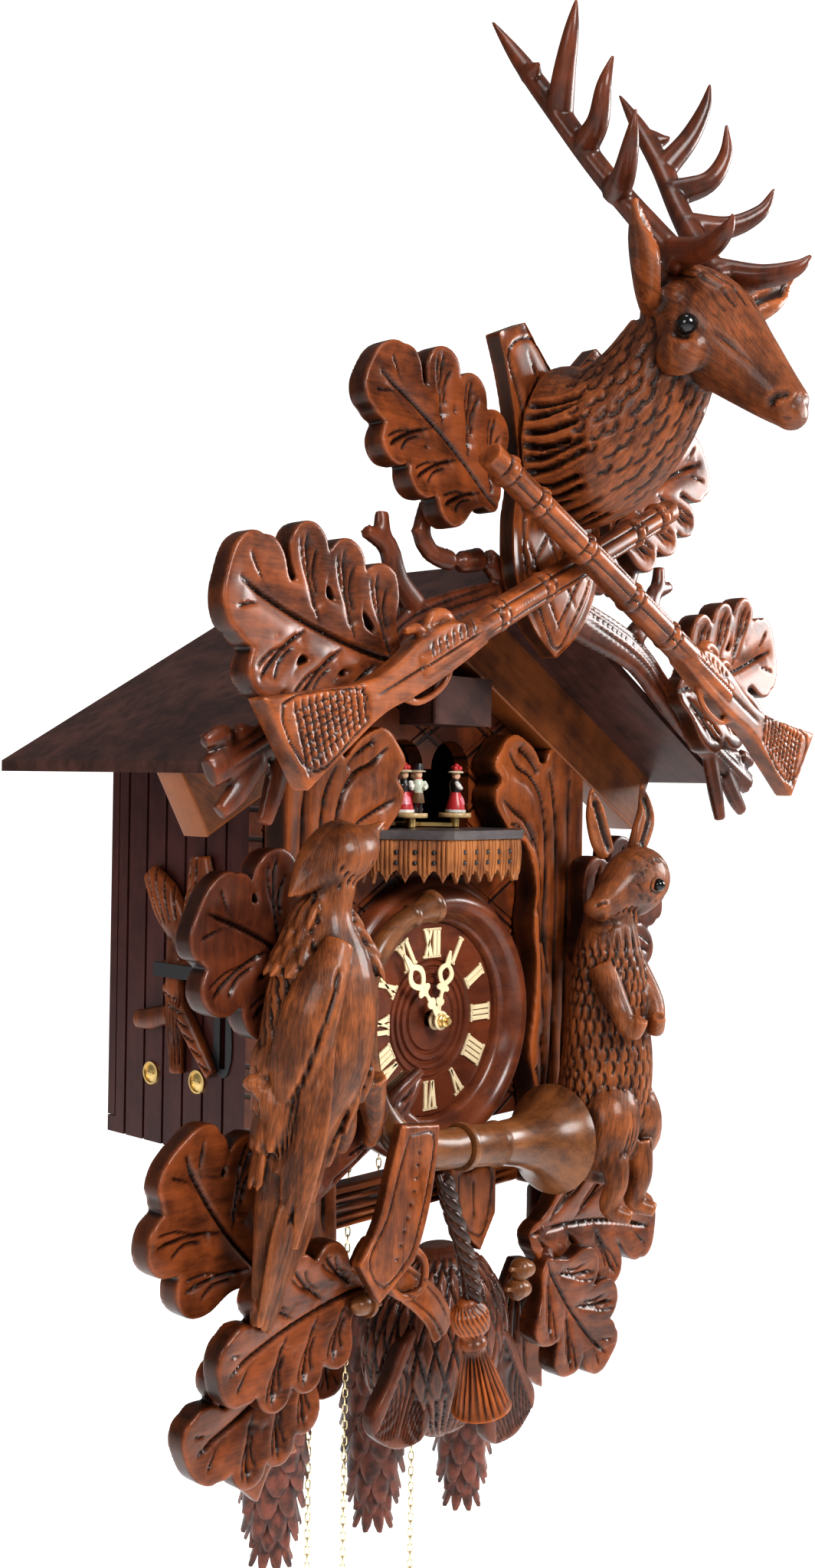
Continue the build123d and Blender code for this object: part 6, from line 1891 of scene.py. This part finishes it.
# ---- front frame, balcony and side ornament ---------------------------------------------
class CLOCK_OT_front(bpy.types.Operator):
    """Carve the front frame, the beam, the balcony's slats and the ornament on the left side"""

    bl_idname = "clock.front"
    bl_label = "Carve the front"

    def execute(self, context):
        column = [(142.5, -344, 1), (142.5, -66, 1), (118, -42), (104, -46), (98, -56), (86, -46), (76, -40),
                  (63, -37), (50, -48), (45, -57), (52, -66), (46, -76), (56, -94), (68, -104), (80, -108),
                  (88, -122), (94, -140), (91, -165), (96, -190), (92, -225), (88, -252), (96, -277),
                  (99, -300), (98.5, -344, 1)]
        frames = bmesh.new()
        for side in (1, -1):
            part = bmesh.new()
            outline = [(side * x, z, *rest) for x, z, *rest in column]
            flat_cut(part, [outline], 21.0, facing_front(-155.2), rounded=1.5, resolution=5)
            remeshed(part, 1.7, 1)
            curls = [
                [(60, -48), (72, -58), (86, -64), (98, -80), (104, -110), (106, -150), (108, -200)],
                [(54, -80), (70, -88), (84, -96), (94, -112), (99, -140), (100, -176), (102, -230)],
                [(104, -60), (112, -80), (116, -120), (116, -180), (114, -240), (112, -300)],
                [(128, -66), (130, -120), (128, -200), (126, -260), (128, -330)],
                [(100, -240), (106, -270), (106, -300), (108, -335)],
                [(70, -44), (84, -52), (94, -62)], [(62, -96), (76, -98), (90, -110)],
                [(95, -150), (102, -160), (104, -180)], [(94, -262), (102, -276), (104, -296)],
            ]
            strokes = []
            for path in curls:
                path = [(side * x, z) for x, z in path]
                strokes.append((path, 1.9, 2.6, "V"))
                strokes.append((path, 6.5, 2.6, "swell"))
            rim = [(side * (x + 3.5), z + (2 if z < -300 else 0)) for x, z, *_ in column[2:-1]]
            strokes.append((rim, 5.0, -1.2, "swell"))
            carve(part, strokes, plane=(0, 2))
            paint_side_shade(part, 0.8)
            merge(frames, part)
        piece("frame_columns", frames, "case", finish_of("carved"), ["carved_frames"])

        beam = bmesh.new()
        box(beam, (-97.5, -148.8, -344.5), (97.5, -132.2, -318.5), bevel=2.0)
        remeshed(beam, 1.7, 1)
        grooves = [([(-92, z), (-30, z - 1), (30, z - 1), (92, z)], 1.6, 2.4, "V")
                   for z in (-323.5, -329, -335, -340)]
        carve(beam, grooves, plane=(0, 2))
        paint_side_shade(beam, 0.4)
        piece("beam_carved", beam, "case", finish_of("carved_x"), ["bottom_beam"])

        slats = bmesh.new()
        corners = [(-66, -146), (-66, -163.2), (-33.2, -196), (33.2, -196), (66, -163.2), (66, -146)]
        dots = bmesh.new()
        for start, end in zip(corners, corners[1:]):
            start, end = Vector((*start, 0)), Vector((*end, 0))
            along = (end - start).normalized()
            out = Vector((along.y, -along.x, 0))
            count = max(1, round((end - start).length / 11.4))
            wide = (end - start).length / count
            for index in range(count):
                middle = start + along * wide * (index + 0.5) - out * -0.0
                part = bmesh.new()
                half = wide * 0.47
                slat = [(-half, 0, 1), (half, 0, 1), (half, -18.5, 1), (half * 0.55, -20.5), (0, -25.6, 1),
                        (-half * 0.55, -20.5), (-half, -18.5, 1)]
                flat_cut(part, [slat], 3.4, facing_front(1.9), rounded=0.7, resolution=3)
                for shift in (-0.52, 0.0, 0.52):
                    limb(part, [(half * shift, 0.3, -0.5), (half * shift, -0.2, -10),
                                (half * shift, 0.3, -20 - 3 * (1 - abs(shift)))], [1.15, 1.35, 0.9], segments=8)
                place = Matrix((along, -out, (0, 0, 1))).transposed().to_4x4()
                place.translation = Vector((middle.x, middle.y, -104.2))
                bmesh.ops.transform(part, matrix=place, verts=part.verts)
                merge(slats, part)
                if index:
                    for height in (-8.0, -14.5):
                        spot = start + along * wide * index + out * 0.2
                        ball(dots, (spot.x, spot.y, -104 + height), 1.5, subdivisions=2)
        piece("balcony_slats", slats, "case", finish_of("valance"), ["balcony_valance"])
        piece("balcony_dots", dots, "case", finish_of("black"))

        ornament = bmesh.new()
        x = -146.5
        limb(ornament, [(x, -80, -170), (x, -62, -146), (x, -44, -128)], [(5, 9), (7, 14), (4, 8)], segments=10)
        limb(ornament, [(x, -82, -172), (x, -94, -146), (x, -92, -116)], [(5, 9), (7, 15), (4, 9)], segments=10)
        limb(ornament, [(x, -70, -168), (x, -71, -210), (x, -73, -250)], [(5, 7), (6, 8), (4, 6)], segments=10)
        limb(ornament, [(x, -64, -196), (x, -86, -222), (x, -106, -247)], [(5, 6), (6, 7), (4, 5)], segments=10)
        limb(ornament, [(x, -66, -214), (x, -48, -219), (x, -33, -221)], [(5, 6), (5, 7), (4, 6)], segments=10)
        limb(ornament, [(x, -100, -182), (x, -70, -186), (x, -58, -186)], [(4, 5), (5, 6), (4, 5)], segments=10)
        remeshed(ornament, 1.2, 1)
        strokes = []
        for index in range(9):
            strokes.append(([(-56 - 5 * index, -160 + index), (-36 - 7 * index, -124 + 2 * index)], 1.1, 1.8, "V"))
        for index in range(6):
            strokes.append(([(-66 - 2.4 * index, -200), (-68 - 2.4 * index, -246)], 1.0, 1.6, "V"))
            strokes.append(([(-62 - 7 * index, -200 - 8 * index), (-76 - 6 * index, -204 - 8 * index)],
                            1.0, 1.6, "V"))
        carve(ornament, strokes, plane=(1, 2), facing=(-1, 0, 0))
        paint_side_shade(ornament, 0.7, facing=(-1, 0, 0))
        piece("side_ornament_carved", ornament, "case", finish_of("game_side"), ["side_ornament"])

        bob = bmesh.new()
        merge(bob, oak_leaf((4, -401), (4, -495), 52, 2, -59.2, thick=5.6, curl=1.0))
        piece("bob_carved", bob, "pendulum", finish_of("leaf"), ["pendulum_bob"])
        return {"FINISHED"}


# ---- dancers ----------------------------------------------------------------------------
def painted_part(target, colour, build):
    """Builds one part of a figure and colours it."""
    part = bmesh.new()
    build(part)
    paint = part.verts.layers.float_color.new("paint")
    for vert in part.verts:
        vert[paint] = (*colour, 1.0)
    merge(target, part)


def lathe(profile, x, y, z, segments=18):
    return lambda bm: turned(bm, profile, Matrix.Translation((x, y, z)), segments=segments)


class CLOCK_OT_dancers(bpy.types.Operator):
    """Paint the four couples on their turning discs"""

    bl_idname = "clock.dancers"
    bl_label = "Paint the dancers"

    def execute(self, context):
        dancers = bmesh.new()
        for quarter in range(4):
            angle = math.radians(45 + 90 * quarter)
            couple = dancing_couple(quarter)
            place = Matrix.Translation((30.5 * math.cos(angle), -128.5 + 30.5 * math.sin(angle), -91.5))
            place = place @ Matrix.Rotation(angle + math.pi / 2, 4, "Z")
            bmesh.ops.transform(couple, matrix=place, verts=couple.verts)
            merge(dancers, couple)
        piece("dancers_painted", dancers, "carousel", finish_of("paint"),
              ["dancing_couples"], 50)
        return {"FINISHED"}


def dancing_couple(number):
    """Woman in a red skirt and pompon hat, man in a long coat, hand in hand on a disc."""
    red, white, cream, black = (0.55, 0.03, 0.035), (0.82, 0.78, 0.72), (0.86, 0.72, 0.5), (0.015, 0.013, 0.013)
    skin, green, brown = (0.78, 0.46, 0.30), (0.20, 0.26, 0.10), (0.16, 0.08, 0.03)
    bm = bmesh.new()
    painted_part(bm, (0.62, 0.42, 0.2), lathe([(0.1, 0), (10.6, 0), (10.9, 0.4), (10.9, 2.5), (10.5, 3),
                                               (0.1, 3)], 0, 0, 0, 32))
    w, m = -4.4, 4.4
    flip_coat = green if number % 2 else brown
    painted_part(bm, red, lathe([(0.1, 3), (6.2, 3), (6.6, 4.6), (5.6, 10), (3.2, 16.5), (0.1, 17)], w, 0, 0, 20))
    painted_part(bm, white, lathe([(6.3, 3.0), (6.9, 3.4), (6.9, 5.0), (6.2, 5.4)], w, 0, 0, 20))
    painted_part(bm, (0.80, 0.25, 0.30), lathe([(2.2, 15.6), (4.2, 12.4), (5.2, 8.6), (4.6, 8.2), (2.0, 15)],
                                               w, -1.2, 0, 14))
    painted_part(bm, black, lathe([(0.1, 16), (3.0, 16), (3.3, 18.5), (3.7, 22), (2.4, 24.6), (0.1, 25)],
                                  w, 0, 0, 16))
    for side in (-1, 1):
        painted_part(bm, white, lambda part, s=side: limb(
            part, [(w + s * 3.4, 0, 23), (w + s * 4.9, -1.6, 20.4), (w + s * 3.8, -3.6, 19)],
            [1.5, 1.9, 1.2], segments=8, steps=3))
        painted_part(bm, white, lambda part, s=side: ball(part, (w + s * 1.3, -3.3, 21), 0.45,
                                                          subdivisions=1))
    painted_part(bm, skin, lambda part: ball(part, (w, -0.2, 27.4), (2.7, 2.8, 3.1), subdivisions=2))
    painted_part(bm, cream, lathe([(0.1, 29.4), (4.9, 29.2), (5.2, 29.8), (4.4, 30.5), (0.1, 31)], w, 0, 0, 18))
    for px, py in ((0, -2.4), (2.3, 0.6), (-2.3, 0.6), (0, 1.8)):
        painted_part(bm, red, lambda part, a=px, b=py: ball(part, (w + a, b, 32.3), 1.9, subdivisions=2))
    painted_part(bm, red, lambda part: ball(part, (w, -0.2, 33.8), 1.9, subdivisions=2))

    for side in (-1, 1):
        painted_part(bm, black, lambda part, s=side: limb(
            part, [(m + s * 1.5, 0, 3), (m + s * 1.6, 0, 8), (m + s * 1.7, 0, 13)], [1.5, 1.4, 1.9],
            segments=8, steps=2))
    painted_part(bm, flip_coat, lathe([(0.1, 9.6), (4.2, 9.4), (4.4, 10.2), (3.4, 16), (0.1, 17)], m, 0, 0, 16))
    painted_part(bm, (0.62, 0.66, 0.52), lathe([(0.1, 15.4), (3.2, 15.4), (3.5, 18.5), (4.0, 22.4),
                                                (2.4, 25), (0.1, 25.2)], m, 0, 0, 16))
    painted_part(bm, red, lathe([(1.6, 23.6), (2.7, 23.8), (2.5, 25.2), (1.5, 25.6)], m, 0, 0, 14))
    for side in (-1, 1):
        painted_part(bm, (0.70, 0.72, 0.60), lambda part, s=side: limb(
            part, [(m + s * 3.6, 0, 23), (m + s * 4.9, -1.4, 20.0), (m + s * 3.6, -3.4, 18.4)],
            [1.5, 1.7, 1.2], segments=8, steps=3))
    painted_part(bm, skin, lambda part: ball(part, (m, -0.2, 27.6), (2.7, 2.8, 3.1), subdivisions=2))
    painted_part(bm, cream, lathe([(0.1, 29.4), (4.7, 29.4), (5.0, 30.0), (3.4, 30.5)], m, 0, 0, 18))
    painted_part(bm, black, lathe([(3.5, 30.2), (3.3, 32.6), (2.9, 34.6), (0.1, 35)], m, 0, 0, 16))
    return bm


# ---- add-on -----------------------------------------------------------------------------
class CLOCK_PT_panel(bpy.types.Panel):
    """Lists the steps of the making"""

    bl_idname = "CLOCK_PT_panel"
    bl_label = "Carved Hunting Clock"
    bl_space_type = "VIEW_3D"
    bl_region_type = "UI"
    bl_category = "Clock"

    def draw(self, context):
        looks = context.scene.clock_looks
        for name in ("light_wood", "dark_wood", "side_wood", "chain_wire", "link_pitch"):
            self.layout.prop(looks, name)
        for step in STEPS:
            self.layout.operator(step.bl_idname)


STEPS = [CLOCK_OT_finishes, CLOCK_OT_stage, CLOCK_OT_chains, CLOCK_OT_case, CLOCK_OT_dial,
         CLOCK_OT_leaves, CLOCK_OT_crown, CLOCK_OT_stag, CLOCK_OT_bird, CLOCK_OT_hare, CLOCK_OT_game,
         CLOCK_OT_front, CLOCK_OT_dancers]
CLASSES = [ClockLooks, *STEPS, CLOCK_PT_panel]


def register():
    for made in CLASSES:
        bpy.utils.register_class(made)
    bpy.types.Scene.clock_looks = bpy.props.PointerProperty(type=ClockLooks)


def unregister():
    del bpy.types.Scene.clock_looks
    for made in reversed(CLASSES):
        bpy.utils.unregister_class(made)


def main():
    register()
    for step in STEPS:
        group, name = step.bl_idname.split(".")
        getattr(getattr(bpy.ops, group), name)()
    bpy.context.view_layer.update()


if __name__ == "__main__":
    main()
